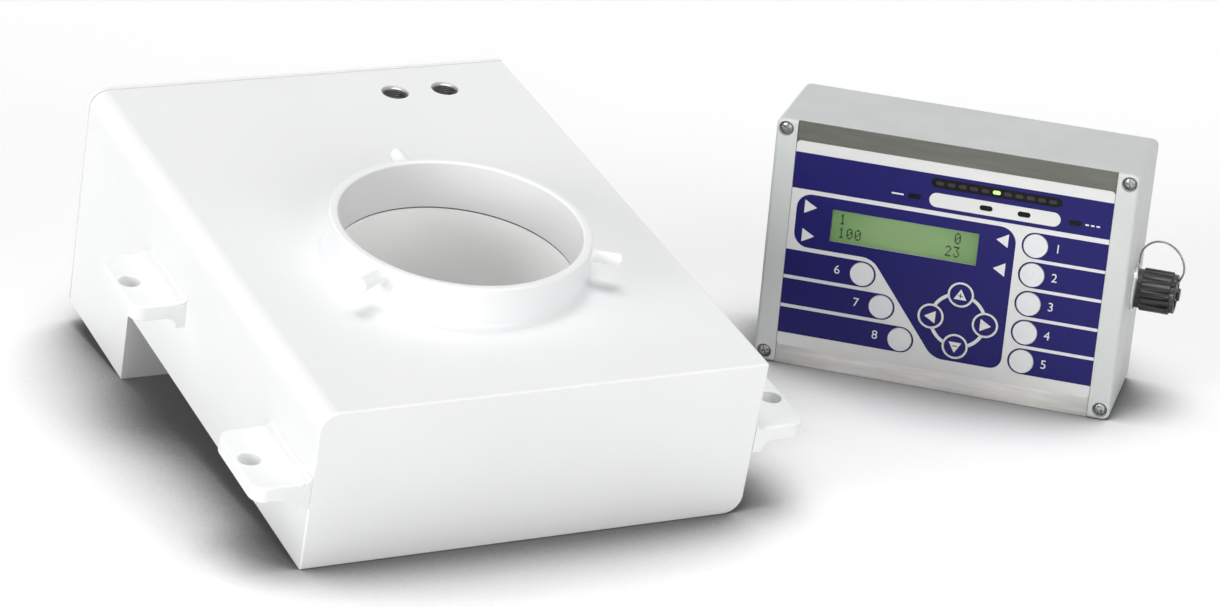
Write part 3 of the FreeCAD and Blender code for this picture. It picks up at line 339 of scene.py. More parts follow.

# %% [markdown]
# The search head is steel with a thick white powder coat. Powder flows out glossy but
# never quite flat, which is the orange peel that breaks up its highlights. Its liner
# is a smooth light plastic tube with the faint rings that turning leaves. A weak
# emission on it is painted light, which brightens the shade deep in the bore.

# %% Finishes of the head
white_coat = new_finish("white_powder_coat", (0.87, 0.875, 0.88), 0.34)
mottle(white_coat, noise(white_coat, HEAD, (80, 80, 80)), (0.865, 0.87, 0.875), (0.885, 0.89, 0.895))
relief(white_coat, noise(white_coat, HEAD, (2.2, 2.2, 2.2)), 0.006)
liner_plastic = moulded("liner_plastic", (0.93, 0.93, 0.92), HEAD, 0.38, 0.9, 0.004)
relief(liner_plastic, noise(liner_plastic, HEAD, (400, 400, 0.8)), 0.01)
# painted light: a faint glow that lifts the shade inside the bore
socket_of(liner_plastic, "Emission Color").default_value = (1, 0.99, 0.97, 1)
socket_of(liner_plastic, "Emission Strength").default_value = 0.12
thread_steel = metal("thread_steel", (0.30, 0.30, 0.31), HEAD, 0.3, (6, 6, 0.3), 0.01)
former_resin = moulded("former_resin", (0.62, 0.58, 0.47), HEAD, 0.5, 2.5, 0.03)
winding_copper = metal("winding_copper", (0.72, 0.38, 0.20), HEAD, 0.32, (90, 90, 0.7), 0.12)
board_green = moulded("board_green", (0.02, 0.15, 0.06), HEAD, 0.35, 3.0, 0.03, 0.2)
standoff_brass = metal("standoff_brass", (0.66, 0.58, 0.40), HEAD, 0.28, (4, 4, 0.3), 0.01)
white_rubber = moulded("white_rubber", (0.74, 0.74, 0.73), HEAD, 0.6, 0.6, 0.01)
# painted shade: the dark grey of the ring that darkens the seam groove
seam_painted_shade = moulded("seam_painted_shade", (0.10, 0.10, 0.10), HEAD, 0.6, 0.6, 0.01)
print("head finishes ready")

# %% [markdown]
# The control box is light grey with a fine leather texture. Its plate is brushed
# sideways, so its noise is long across the plate and short up it. The keypad film is
# printed from behind, smooth and slightly satin.

# %% Finishes of the control box
grey_box = moulded("grey_box_paint", (0.58, 0.605, 0.59), BOX, 0.5, 0.9, 0.02)
brushed_plate = metal("brushed_plate", (0.60, 0.60, 0.58), BOX, 0.45, (60, 4, 0.16), 0.012)
socket_of(brushed_plate, "Metallic").default_value = 0.45
mottle(brushed_plate, noise(brushed_plate, BOX, (34, 8, 3.5), 4), (0.72, 0.71, 0.685), (0.88, 0.865, 0.84))
# painted shade and reflection: the plate is darkened away from its lower middle, most at the top
paint_shade(brushed_plate, distance(brushed_plate, BOX @ shift(120, 2, 0), (230, 230, 230)), (0.165, 0.17, 0.155), (1, 1, 1))
screw_steel = metal("screw_steel", (0.46, 0.46, 0.45), BOX, 0.3, (3, 3, 0.25), 0.008)
wire_steel = metal("wire_steel", (0.26, 0.26, 0.27), BOX, 0.32, (0.4, 0.4, 8), 0.004)
nut_metal = metal("nut_metal", (0.80, 0.80, 0.78), BOX, 0.2, (0.3, 5, 5), 0.006)
film_white = moulded("film_white", (0.70, 0.70, 0.69), BOX, 0.36, 0.5, 0.004, 0.01)
ink_navy = moulded("ink_navy", (0.012, 0.010, 0.118), BOX, 0.34, 0.5, 0.004, 0.05)
key_white = moulded("key_white", (0.71, 0.72, 0.73), BOX, 0.3, 0.5, 0.004, 0.012)
key_navy = moulded("key_navy", (0.012, 0.010, 0.118), BOX, 0.28, 0.5, 0.004, 0.05)
black_plastic = moulded("black_plastic", (0.015, 0.015, 0.016), BOX, 0.36, 0.7, 0.012, 0.2)
lamp_black = moulded("lamp_black", (0.002, 0.002, 0.004), BOX, 0.3, 0.7, 0.006, 0.2)
lamp_dark = moulded("lamp_dark", (0.042, 0.036, 0.036), BOX, 0.22, 0.8, 0.006, 0.2)
for shaded in (ink_navy, key_navy, lamp_black, lamp_dark):
    socket_of(shaded, "Specular IOR Level").default_value = 0.2
lamp_green = moulded("lamp_green", (0.43, 0.63, 0.23), BOX, 0.25, 0.8, 0.006, 0.08)
mottle(lamp_green, noise(lamp_green, BOX, (2, 2, 2)), (0.40, 0.62, 0.20), (0.55, 0.75, 0.35), "Emission Color")
socket_of(lamp_green, "Emission Strength").default_value = 0.55
print("control box finishes ready")

# %% [markdown]
# The display is a green liquid crystal glass with a light behind it that is brightest
# in the middle, so its colour runs with the distance from there. In front of it sits a
# thin clear pane, which is mostly see-through and keeps only its shine.

# %% Finishes of the display
display_green = new_finish("display_green", (0.18, 0.32, 0.10), 0.4)
glow = distance(display_green, BOX @ shift(92, 2.7, 103), (75, 75, 30))
for name in ("Base Color", "Emission Color"):
    mottle(display_green, glow, (0.115, 0.25, 0.062), (0.195, 0.335, 0.125), name)
socket_of(display_green, "Emission Strength").default_value = 0.08
relief(display_green, noise(display_green, BOX, (0.4, 0.4, 0.4)), 0.003)
display_dot = moulded("display_dot", (0.008, 0.022, 0.007), BOX, 0.5, 0.4, 0.003)
socket_of(display_dot, "Specular IOR Level").default_value = 0.1
clear_pane = moulded("clear_pane", (0.4, 0.5, 0.4), BOX, 0.08, 6, 0.004, 0.01)
socket_of(clear_pane, "Alpha").default_value = 0.05
print("display finishes ready")

# %% [markdown]
# Pieces are shaped by hand with the usual tools: a primitive at its size, then
# selecting faces or edges by where they are, extruding, bevelling and cutting. These
# helpers only shorten that. Everything else is deselected first, because an operator
# acts on all that is selected.

# %% Helpers for modelling
def take(piece):
    """Make a piece the only one selected, and the active one."""
    bpy.ops.object.select_all(action="DESELECT")
    piece.select_set(True)
    bpy.context.view_layer.objects.active = piece
    return piece


def named(name):
    """Name the primitive that was just added and put its place into its mesh."""
    piece = bpy.context.object
    piece.name = piece.data.name = name
    bpy.ops.object.transform_apply(location=True, rotation=True, scale=True)
    return piece


def block(name, x, y, z):
    """A cube primitive between two places along each axis."""
    low, high = (Vector(corner) for corner in zip(x, y, z))
    bpy.ops.object.select_all(action="DESELECT")
    bpy.ops.mesh.primitive_cube_add(size=1, location=(low + high) / 2, scale=high - low)
    return named(name)


@contextmanager
def shaping(piece):
    """Edit mode on one piece, with nothing selected at first."""
    take(piece)
    bpy.ops.object.mode_set(mode="EDIT")
    bpy.ops.mesh.select_mode(type="VERT")
    bpy.ops.mesh.select_all(action="DESELECT")
    yield
    bpy.ops.object.mode_set(mode="OBJECT")


def pick(kind, test):
    """Select the faces, edges or corners whose middle and direction pass a test."""
    bpy.ops.mesh.select_all(action="DESELECT")
    bpy.ops.mesh.select_mode(type=kind)
    mesh = bmesh.from_edit_mesh(bpy.context.object.data)
    if kind == "FACE":
        chosen = [face for face in mesh.faces if test(face.calc_center_median(), face.normal)]
    elif kind == "EDGE":
        chosen = [edge for edge in mesh.edges if test((edge.verts[0].co + edge.verts[1].co) / 2,
                                                      (edge.verts[1].co - edge.verts[0].co).normalized())]
    else:
        chosen = [corner for corner in mesh.verts if test(corner.co, None)]
    if not chosen:
        raise ValueError(f"{bpy.context.object.name}: nothing to pick")
    for element in chosen:
        element.select_set(True)
    bmesh.update_edit_mesh(bpy.context.object.data)


def close_to(middle, **places):
    return all(abs(getattr(middle, axis) - place) < 0.01 for axis, place in places.items())


def extrude(x, y, z):
    bpy.ops.mesh.extrude_region_move(TRANSFORM_OT_translate={"value": (x, y, z)})


def bevel(radius, segments, affect="EDGES"):
    bpy.ops.mesh.bevel(offset=radius, segments=segments, affect=affect)


def apply(piece, kind, **settings):
    """Add a modifier, set it up and apply it."""
    take(piece)
    modifier = piece.modifiers.new(kind.lower(), kind)
    for name, value in settings.items():
        setattr(modifier, name, value)
    bpy.ops.object.modifier_apply(modifier=modifier.name)
    return piece


def turned(name, sides, outline, solid=False):
    """Walk a circle along (radius, height) steps, as on a lathe. A solid starts as a
    filled disc, and a ring comes back to the circle that it started from."""
    (radius, height), *steps = outline
    bpy.ops.object.select_all(action="DESELECT")
    bpy.ops.mesh.primitive_circle_add(vertices=sides, radius=radius, location=(0, 0, height),
                                      fill_type="NGON" if solid else "NOTHING")
    piece = named(name)
    with shaping(piece):
        bpy.ops.mesh.select_all(action="SELECT")
        for next_radius, next_height in steps if solid else [*steps, outline[0]]:
            extrude(0, 0, next_height - height)
            growth = next_radius / radius
            bpy.ops.transform.resize(value=(growth, growth, 1), center_override=(0, 0, next_height))
            radius, height = next_radius, next_height
        bpy.ops.mesh.select_all(action="SELECT")
        bpy.ops.mesh.remove_doubles(threshold=0.0005)
        bpy.ops.mesh.normals_make_consistent(inside=False)
    return piece


def outline(name, corners, rounds, low, high, segments=8):
    """A flat slab with rounded corners: a disc's corners are set in place, bevelled
    one by one, and the face is extruded."""
    bpy.ops.object.select_all(action="DESELECT")
    bpy.ops.mesh.primitive_circle_add(vertices=len(corners), radius=1, fill_type="NGON")
    piece = named(name)
    for vertex, corner in zip(piece.data.vertices, corners):
        vertex.co = (*corner, low)
    with shaping(piece):
        for (x, y), radius in zip(corners, rounds):
            if radius:
                pick("VERT", lambda corner, _: close_to(corner, x=x, y=y))
                bevel(radius, segments, "VERTICES")
        bpy.ops.mesh.select_all(action="SELECT")
        extrude(0, 0, high - low)
        bpy.ops.mesh.select_all(action="SELECT")
        bpy.ops.mesh.normals_make_consistent(inside=False)
    return piece


def moved(piece, place):
    piece.data.transform(place)
    return piece


def copied(piece, name, place=Matrix()):
    twin = piece.copy()
    twin.data = piece.data.copy()
    twin.name = twin.data.name = name
    bpy.context.scene.collection.objects.link(twin)
    return moved(twin, place)


def joined(name, pieces):
    take(pieces[0])
    for piece in pieces:
        piece.select_set(True)
    bpy.ops.object.join()
    pieces[0].name = pieces[0].data.name = name
    return pieces[0]


def cut(piece, cutter, keep=False):
    """Take a cutter's shape out of a piece."""
    apply(piece, "BOOLEAN", operation="DIFFERENCE", object=cutter, solver="EXACT")
    if not keep:
        bpy.data.objects.remove(cutter)
    return piece


def soften(piece, width, segments=3, angle=35):
    """Round the sharp edges a little, and let wide faces keep their flat shading."""
    apply(piece, "BEVEL", width=width, segments=segments, limit_method="ANGLE",
          angle_limit=math.radians(angle))
    return smooth(piece, angle)


def smooth(piece, angle=35):
    take(piece)
    bpy.ops.object.shade_smooth_by_angle(angle=math.radians(angle))
    return apply(piece, "WEIGHTED_NORMAL", keep_sharp=True)


def settle(piece, place, body, finish, slot, *nodes):
    """Carry a finished piece to its place, put it on its body and give it its finish."""
    moved(piece, place)
    piece.data.materials.clear()
    piece.data.materials.append(finish)
    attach(piece, body)
    if nodes:
        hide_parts(*nodes)
    print(piece.name, len(piece.data.polygons), "faces")
    return piece


# %% [markdown]
# The case is bent and welded from sheet, ground flush and coated, so on the finished
# head no seam shows. That is why it is one shell here: a block is extruded back for
# the bay and down for its depth, two long edges are bent over, the open back is
# deleted, and Solidify gives the sheet its thickness. The welded edges that show, round
# the front and along the right, are then bevelled, as grinding leaves them.

# %% Case shell
LEFT, RIGHT = -149, 141
SLAB, BAY, BAY_FACE, SHELL_END = -106, -155, 144, 243.5
BORE, TUBE, BEND = 75, 80.8, 12


def bent_edge(middle, run):
    along = abs(run.y) > 0.9
    slab_edge = close_to(middle, x=RIGHT, z=SLAB) and middle.y < BAY_FACE
    return along and (close_to(middle, x=LEFT, z=0) or close_to(middle, x=RIGHT, z=BAY) or slab_edge)


shell = block("case_shell", (LEFT, RIGHT), (-150, BAY_FACE), (SLAB, 0))
with shaping(shell):
    pick("FACE", lambda middle, normal: normal.y > 0.9)
    extrude(0, SHELL_END - BAY_FACE, 0)
    pick("FACE", lambda middle, normal: normal.z < -0.9 and middle.y > BAY_FACE)
    extrude(0, 0, BAY - SLAB)
    pick("EDGE", bent_edge)
    bevel(BEND, 12)
    pick("VERT", lambda at, _: close_to(at, x=RIGHT, y=BAY_FACE) and abs(abs(at.z - SLAB) - BEND) < 0.01)
    bpy.ops.mesh.vert_connect()
    bpy.ops.mesh.select_all(action="SELECT")
    bpy.ops.mesh.dissolve_limited(angle_limit=math.radians(1))
    pick("FACE", lambda middle, normal: normal.y > 0.9 and middle.y > SHELL_END - 1)
    bpy.ops.mesh.delete(type="FACE")
apply(shell, "SOLIDIFY", thickness=3, offset=-1, use_even_offset=True)
cut(shell, turned("bore_cutter", 128, [(TUBE + 0.15, SLAB - 3), (TUBE + 0.15, 3)], solid=True))
entries = [(49.6, 212.5), (85.2, 212.5)]
for x, y in entries:
    cut(shell, moved(turned("entry_cutter", 48, [(9.2, -6), (9.2, 3)], solid=True), shift(x, y, 0)))
with shaping(shell):
    pick("EDGE", lambda at, run: close_to(at, y=-150) and abs(run.y) < 0.1
         or close_to(at, x=RIGHT, z=0) and abs(run.y) > 0.9)
    bevel(1.3, 4)
soften(shell, 0.7)
settle(shell, HEAD, "search_head", white_coat, "white_case", "case_top_sheet", "case_bottom_sheet",
       "case_front_plate", "bay_step_plate", "bay_floor_sheet", "case_left_sheet")

# %% [markdown]
# The collar is a ring that is turned, set into the top and welded all round. Its rim
# is rounded, and the weld under the coat is a small hollow fillet. It could be a
# screwed outline too, but walking a circle along the section keeps its corners exact.

# %% Collar and its pins
collar_steps = [(BORE, -4.9), (TUBE, -4.9), (TUBE, -0.5), (84.2, -0.5), (84.2, 0.08), (82.6, 0.4),
                (81.5, 1.3), (81.0, 2.5), (TUBE, 3.9), (TUBE, 25.6), (80.5, 26.4), (79.8, 26.9),
                (79.2, 27), (76.6, 27), (76.0, 26.9), (75.3, 26.4), (BORE, 25.6)]
collar = smooth(turned("collar_ring", 160, collar_steps))
settle(collar, HEAD, "search_head", white_coat, "white_case", "collar")
pin_steps = [(4.3, 77.2), (4.3, 80.3), (6.0, 80.4), (5.1, 81.0), (4.5, 82.0), (4.3, 83.4), (4.3, 98.7),
             (4.1, 99.3), (3.7, 99.7), (3.1, 99.8)]
for word, degrees in (("right", -30), ("rear", 90), ("left", 210)):
    pin = smooth(turned(f"bayonet_pin_{word}", 40, pin_steps, solid=True))
    around = Matrix.Rotation(math.radians(degrees), 4, "Z")
    settle(pin, HEAD @ around @ shift(0, 0, 20) @ SIDEWAYS, "search_head", white_coat, "white_case",
           f"collar_pin_{word}")

# %% [markdown]
# Each mounting tab is a thick plate with a foot under it, rounded off at the outside
# and drilled for a bolt. The plate is cut across twice, so that the foot can be
# extruded down and a thin lip up, and the two inner corners are then bevelled into
# the hollow welds that run into the case. The hole comes after the edges are rounded,
# with a cutter that is wider at both ends, which leaves it a small chamfer.

# %% Mounting tabs
TAB_TOP, TAB_UNDER = -46, -56


def mounting_tab(word, side, middle):
    wall = LEFT if side < 0 else RIGHT
    tip, foot, lip = (wall + side * reach for reach in (35, 6, 0.4))
    tab = block(f"tab_{word}", sorted((wall, tip)), (middle - 32, middle + 32), (TAB_UNDER, TAB_TOP))
    with shaping(tab):
        for place in (foot, lip):
            bpy.ops.mesh.select_all(action="SELECT")
            bpy.ops.mesh.bisect(plane_co=(place, 0, 0), plane_no=(1, 0, 0))
        pick("FACE", lambda at, normal: normal.z < -0.9 and abs(at.x - wall) < 6)
        extrude(0, 0, -7)
        pick("FACE", lambda at, normal: normal.z > 0.9 and abs(at.x - wall) < 0.4)
        extrude(0, 0, 3.6)
        pick("EDGE", lambda at, run: abs(run.y) > 0.9 and close_to(at, x=foot, z=TAB_UNDER))
        bevel(5.6, 6)
        pick("EDGE", lambda at, run: abs(run.y) > 0.9 and close_to(at, x=lip, z=TAB_TOP))
        bevel(3.2, 6)
        pick("EDGE", lambda at, run: abs(run.z) > 0.9 and abs(at.x - tip) < 0.01)
        bevel(9, 10)
        pick("EDGE", lambda at, run: min(abs(at.z - TAB_TOP), abs(at.z - TAB_UNDER)) < 0.01
             and abs(at.x - wall) > (12 if abs(run.y) > 0.9 else 6.1))
        bevel(1, 3)
    hole_steps = [(8, TAB_UNDER - 0.75), (6.75, TAB_UNDER + 0.5), (6.75, TAB_TOP - 0.5), (8, TAB_TOP + 0.75)]
    hole = turned("hole_cutter", 48, hole_steps, solid=True)
    cut(tab, moved(hole, shift(wall + side * 26, middle, 0)))
    settle(smooth(tab), HEAD, "search_head", white_coat, "white_case", f"mounting_tab_{word}")


for word, side, middle in (("front_left", -1, -118), ("front_right", 1, -118),
                           ("rear_left", -1, 86), ("rear_right", 1, 86)):
    mounting_tab(word, side, middle)

# %% [markdown]
# Product falls through a smooth liner. It meets the collar in a fine seam, which is
# one more step in the turned section: a groove under the collar. A dark grey ring fills
# the groove to just behind the wall as painted shade, so it shows as a thin dark line.

# %% Aperture liner
liner_steps = [(BORE, SLAB + 1), (BORE + 1, SLAB), (TUBE, SLAB), (TUBE, -5.1), (BORE + 2.4, -5.1), (BORE + 2.4, -6.1),
               (BORE + 0.2, -6.1), (BORE, -6.3)]
liner = smooth(turned("bore_liner", 160, liner_steps))
settle(liner, HEAD, "search_head", liner_plastic, "liner_plastic", "aperture_liner")
# painted shade: a dark ring in the groove stands in for the seam's shadow
shade_ring_steps = [(BORE + 0.6, -6.05), (BORE + 2.3, -6.05), (BORE + 2.3, -4.95), (BORE + 0.6, -4.95), (BORE + 0.5, -5.5)]
shade_ring = smooth(turned("seam_shade_ring", 160, shade_ring_steps))
settle(shade_ring, HEAD, "search_head", seam_painted_shade, "gasket_rubber")

# %% [markdown]
# The two cable entries are tapped. A thread is a real helix, so a small triangle is
# extruded and turned a step at a time round the bore. It is modelled once and copied
# to the second entry.

# %% Threads in the conduit entries
STEPS, PITCH, TURNS = 30, 1.5, 11
bpy.ops.object.select_all(action="DESELECT")
bpy.ops.mesh.primitive_circle_add(vertices=3, radius=1, fill_type="NGON")
ridge = named("entry_thread_left")
for vertex, place in zip(ridge.data.vertices, [(8.35, 0, 0), (9.5, 0, 0.72), (9.5, 0, -0.72)]):
    vertex.co = place
with shaping(ridge):
    bpy.ops.mesh.select_all(action="SELECT")
    for _ in range(STEPS * TURNS):
        extrude(0, 0, PITCH / STEPS)
        bpy.ops.transform.rotate(value=math.tau / STEPS, orient_axis="Z", center_override=(0, 0, 0))
    bpy.ops.mesh.select_all(action="SELECT")
    bpy.ops.mesh.normals_make_consistent(inside=False)
moved(ridge, shift(*entries[0], -18.2))
second = copied(ridge, "entry_thread_right", shift(entries[1][0] - entries[0][0], 0, 0))
for piece in (ridge, second):
    settle(smooth(piece, 40), HEAD, "search_head", thread_steel, "boss_steel")

# %% [markdown]
# The back of the bay is closed by a cover plate with six hexagon socket screws. One
# screw is turned, its socket is cut with a six-sided cutter, and it is copied round.

# %% Rear cover and its screws
cover = block("rear_cover_plate", (LEFT, RIGHT), (245, 248), (BAY, 0))
with shaping(cover):
    pick("EDGE", lambda at, run: abs(run.y) > 0.9 and (close_to(at, x=LEFT, z=0) or close_to(at, x=RIGHT, z=BAY)))
    bevel(BEND, 12)
settle(soften(cover, 0.6), HEAD, "search_head", white_coat, "white_case", "rear_cover")
screw = turned("cover_screws", 36, [(2.5, -8), (2.5, 0), (4.6, 0), (4.6, 1.7), (4.2, 2.5), (3.4, 3)], solid=True)
cut(screw, turned("hexagon_cutter", 6, [(1.9, 1.3), (1.9, 4)], solid=True))
smooth(screw, 40)
screw_places = [(x, z) for x in (-138, -4, 130) for z in (-11, -144)]
screws = [copied(screw, f"cover_screw_{n}", shift(x, 248, z) @ REARWARD) for n, (x, z) in enumerate(screw_places)]
bpy.data.objects.remove(screw)
settle(joined("cover_screws", screws), HEAD, "search_head", screw_steel, "steel_screw", "rear_cover_screws")

# %% [markdown]
# The control box is moulded in two halves that meet in a seam. The back half is a
# block with rounded edges, opened at the front and given its wall by Solidify. It is
# drilled for the socket and for the four wall fixings.

# %% Back half of the box
WIDE, TALL, DEEP, LID = 240, 170, 84, 24
LONG_ROUND, FACE_ROUND = 4.5, 2.5


def end_border(y):
    """A test for the edges round an end face."""
    return lambda at, run: abs(at.y - y) < 0.01 and abs(run.y) < 0.1


def rounded_half(name, y, end):
    half = block(name, (0, WIDE), y, (0, TALL))
    with shaping(half):
        pick("EDGE", lambda at, run: abs(run.y) > 0.9)
        bevel(LONG_ROUND, 8)
        pick("EDGE", end_border(end))
        bevel(FACE_ROUND, 5)
    return half


back_half = rounded_half("box_back_half", (LID, DEEP), DEEP)
with shaping(back_half):
    pick("FACE", lambda at, normal: normal.y < -0.9)
    bpy.ops.mesh.delete(type="FACE")
apply(back_half, "SOLIDIFY", thickness=4, offset=-1, use_even_offset=True)
for x in (22, WIDE - 22):
    for z in (22, TALL - 22):
        fixing = turned("fixing_cutter", 24, [(2.5, 0), (2.5, 12)], solid=True)
        cut(back_half, moved(fixing, shift(x, DEEP + 2, z) @ FACING))
socket_hole = turned("socket_cutter", 64, [(11.35, -8), (11.35, 4)], solid=True)
cut(back_half, moved(socket_hole, shift(WIDE, 44, 79) @ SIDEWAYS))
settle(soften(back_half, 0.35), BOX, "control_unit", grey_box, "grey_box", "control_box_base")

# %% [markdown]
# The front half has two raised channels with a deep screw well at each end. Between
# them a shallow bed carries the steel plate. Cutting blocks and round wells out of a
# rounded block is how the mould makes it too. The wells come last, with a cutter that
# flares at its mouth, because a Bevel modifier would fail where they meet the rounding.

# %% Front half of the box
PLATE_BACK, CHANNEL, INSET = 2.7, 14.4, 6.6
front_half = rounded_half("box_front_half", (0, LID), 0)
beds = [((CHANNEL, WIDE - CHANNEL), (-2, PLATE_BACK), (-2, TALL + 2)),
        ((CHANNEL + 6, WIDE - CHANNEL - 6), (1, 8), (10, TALL - 10)),
        ((CHANNEL + 1, WIDE - CHANNEL - 1), (PLATE_BACK + 4, LID + 2), (4, TALL - 4))]
for bed in beds:
    cut(front_half, block("bed_cutter", *bed))
soften(front_half, 0.35)
screw_corners = [(x, z) for x in (INSET, WIDE - INSET) for z in (INSET, TALL - INSET)]
for x, z in screw_corners:
    well = turned("well_cutter", 40, [(5, -6), (5, -0.3), (5.6, 0.3), (5.6, 4)], solid=True)
    cut(front_half, moved(well, shift(x, 0, z) @ FACING))
settle(smooth(front_half), BOX, "control_unit", grey_box, "grey_box", "control_box_lid")

# %% [markdown]
# The lid screws sit deep in their wells. Each is a rounded head with a cross recess,
# and no two are left at the same angle when they have been driven home.

# %% Lid screws
lid_screw = turned("lid_screws", 40, [(2, -12), (2, 0), (4.2, 0), (4.2, 1.8), (3.95, 2.6), (3.2, 3.3), (1.9, 3.6)],
                   solid=True)
for long_side, short_side in ((2.8, 0.75), (0.75, 2.8)):
    bar = ((-long_side, long_side), (-short_side, short_side), (1.1, 5))
    cut(lid_screw, block("cross_cutter", *bar))
soften(lid_screw, 0.12, 2)
heads = []
for number, ((x, z), degrees) in enumerate(zip(screw_corners, (20, 65, 40, 8))):
    angle = Matrix.Rotation(math.radians(degrees), 4, "Z")
    heads.append(copied(lid_screw, f"lid_screw_{number}", shift(x, 6, z) @ FACING @ angle))
bpy.data.objects.remove(lid_screw)
settle(joined("lid_screw_heads", heads), BOX, "control_unit", screw_steel, "steel_screw", "lid_screws")

# %% [markdown]
# The keypad film is white, with navy fields printed on it and white marks in them.
# Each field is a thin slab with rounded corners that lies on the film, so its edge is
# crisp from any distance. All prints are cut by the same openings as the film.

# %% Openings in the prints
KEY_PLACES = {}
for number in range(3):
    KEY_PLACES[f"key_left_{number + 1}"] = (66.9 + 14.85 * number, 72 - 20.4 * number, 8)
for number in range(5):
    KEY_PLACES[f"key_right_{number + 1}"] = (178.4, 111.6 - 20.2 * number, 8)
ARROWS, ARROW_REACH = (133.6, 51.2), 18.2
ARROW_KEYS = {"key_plus": (0, 1), "key_minus": (0, -1), "key_back": (-1, 0), "key_forward": (1, 0)}
for name, (across, up) in ARROW_KEYS.items():
    KEY_PLACES[name] = (ARROWS[0] + ARROW_REACH * across, ARROWS[1] + ARROW_REACH * up, 7)
WINDOW = (43, 141, 91.2, 113.2)
BAR = (149, 143.2, 86.4, 3.3)
STATUS_LAMPS = [95.9, 143.3, 168.3, 201.9]
STATUS_HEIGHT = 131.5


def slab(name, left, right, low, high, rounds, base, top):
    """A level slab whose corners run from the lower left, round to the upper left."""
    corners = [(left, low), (right, low), (right, high), (left, high)]
    return outline(name, corners, rounds, base, top)


def pill(name, middle, height, length, half, base, top):
    round_end = half * 0.998
    return slab(name, middle - length / 2, middle + length / 2, height - half, height + half,
                [round_end] * 4, base, top)


cutters = [moved(turned("cutter", 48, [(radius + 0.3, -2), (radius + 0.3, 2)], solid=True), shift(x, z, 0))
           for x, z, radius in KEY_PLACES.values()]
cutters.append(slab("cutter", *WINDOW, [0] * 4, -2, 2))
cutters.append(pill("cutter", *BAR, -2, 2))
cutters += [pill("cutter", x, STATUS_HEIGHT, 8.6, 1.8, -2, 2) for x in STATUS_LAMPS]
openings = joined("openings", cutters)
print(len(cutters), "openings")

# %% Navy print
FILM_LEFT, FILM_RIGHT = 14.65, 225.35
INK, OVER_INK = 0.06, 0.12
field = outline("display_field", [(18.9, 83.9), (72.6, 83.9), (119.5, 22.3), (165.3, 22.3), (165.3, 121),
                                  (18.9, 121)], (10, 6.4, 6.5, 8, 11, 10), 0, INK)
navy = [slab("header", FILM_LEFT, FILM_RIGHT, 124, 149, [0] * 4, 0, INK), field]
for name, (x, z, radius) in KEY_PLACES.items():
    if "right" in name:
        navy.append(slab(name + "_band", x - 9.3, FILM_RIGHT, z - 9, z + 9, (8.98, 0, 0, 8.98), 0, INK))
    elif "left" in name:
        navy.append(slab(name + "_band", FILM_LEFT, x + 9.3, z - 9, z + 9, (0, 8.98, 8.98, 0), 0, INK))
navy_print = cut(joined("navy_print", navy), openings, keep=True)
settle(navy_print, FACE, "control_unit", ink_navy, "overlay_print")

# %% [markdown]
# White marks go over the navy: the pill round two of the lamps, short dashes, the
# pointers beside the display, and the ring that joins the arrow keys. Plain numbers
# stand beside the other keys.

# %% White print
def pointer(name, tip, reach, half, base, top):
    """A triangle with its tip at a place, pointing along its reach."""
    x, z = tip
    corners = [(x, z), (x - reach, z + half), (x - reach, z - half)]
    return outline(name, corners, (0.3, 0.3, 0.3), base, top, 3)


white = [pill("lamp_pill", 149, 131.55, 86.6, 4.85, INK, OVER_INK)]
white.append(slab("dash", 80.6, 88.6, 131, 132.1, [0.2] * 4, INK, OVER_INK))
for number in range(3):
    start = 208.6 + 3.6 * number
    white.append(slab("dash", start, start + 2.3, 131, 132.1, [0.2] * 4, INK, OVER_INK))
for z in (112.3, 92.3):
    white.append(pointer("pointer", (32.5, z), 8.3, 4.7, INK, OVER_INK))
    white.append(pointer("pointer", (152.4, z - 0.6), -7.9, 4.7, INK, OVER_INK))
for name in ARROW_KEYS:
    x, z, radius = KEY_PLACES[name]
    steps = [(7.3, INK / 2), (8.7, INK / 2), (8.7, OVER_INK), (7.3, OVER_INK)]
    white.append(moved(turned("key_ring", 64, steps), shift(x, z, 0)))
white_print = cut(joined("white_print", white), openings)
settle(white_print, FACE, "control_unit", film_white, "overlay_print")
RING_HALF = 1.15
ring_steps = [(ARROW_REACH - RING_HALF, INK), (ARROW_REACH + RING_HALF, INK),
              (ARROW_REACH + RING_HALF, OVER_INK), (ARROW_REACH - RING_HALF, OVER_INK)]
ring = moved(turned("joining_ring", 96, ring_steps), shift(*ARROWS, 0))
for name in ARROW_KEYS:
    x, z, radius = KEY_PLACES[name]
    cut(ring, moved(turned("ring_cutter", 64, [(8.3, -1), (8.3, 1)], solid=True), shift(x, z, 0)))
settle(ring, FACE, "control_unit", film_white, "overlay_print")


def number_text(text, x, z, size):
    """A plain number as a flat mesh, centred on a place."""
    bpy.ops.object.select_all(action="DESELECT")
    bpy.ops.object.text_add(location=(x, z, (INK + OVER_INK) / 2))
    words = bpy.context.object
    words.data.body = text
    words.data.size = size
    words.data.align_x = "CENTER"
    words.data.align_y = "CENTER"
    words.data.extrude = (OVER_INK - INK) / 2
    bpy.ops.object.convert(target="MESH")
    number = named("number")
    with shaping(number):
        bpy.ops.mesh.select_all(action="SELECT")
        bpy.ops.mesh.remove_doubles(threshold=0.0005)
    return number


numbers = [number_text(str(n + 1), 193, 111.6 - 20.2 * n, 8.5) for n in range(5)]
numbers += [number_text(str(n + 6), 50 + 14.85 * n, 72 - 20.4 * n, 8.5) for n in range(3)]
settle(joined("key_numbers", numbers), FACE, "control_unit", film_white, "overlay_print")

# %% [markdown]
# The film itself and the brushed plate under it keep their CAD shapes, which already
# have every opening. They only get their finishes.

# %% Film and plate
def coat(node, finish):
    """Give a CAD node its finish; its shape is right as it is."""
    slots = NODES[node].data.materials
    slots.clear()
    slots.append(finish)


coat("keypad_overlay", film_white)
coat("face_plate", brushed_plate)
print("film and plate coated")

# %% [markdown]
# A key is a shallow embossed dome with a groove inside its rim, on a stem that
# reaches the switch behind. The round keys are turned once and copied, each copy with
# its own mesh. The arrow keys are flat and navy, with a white mark.

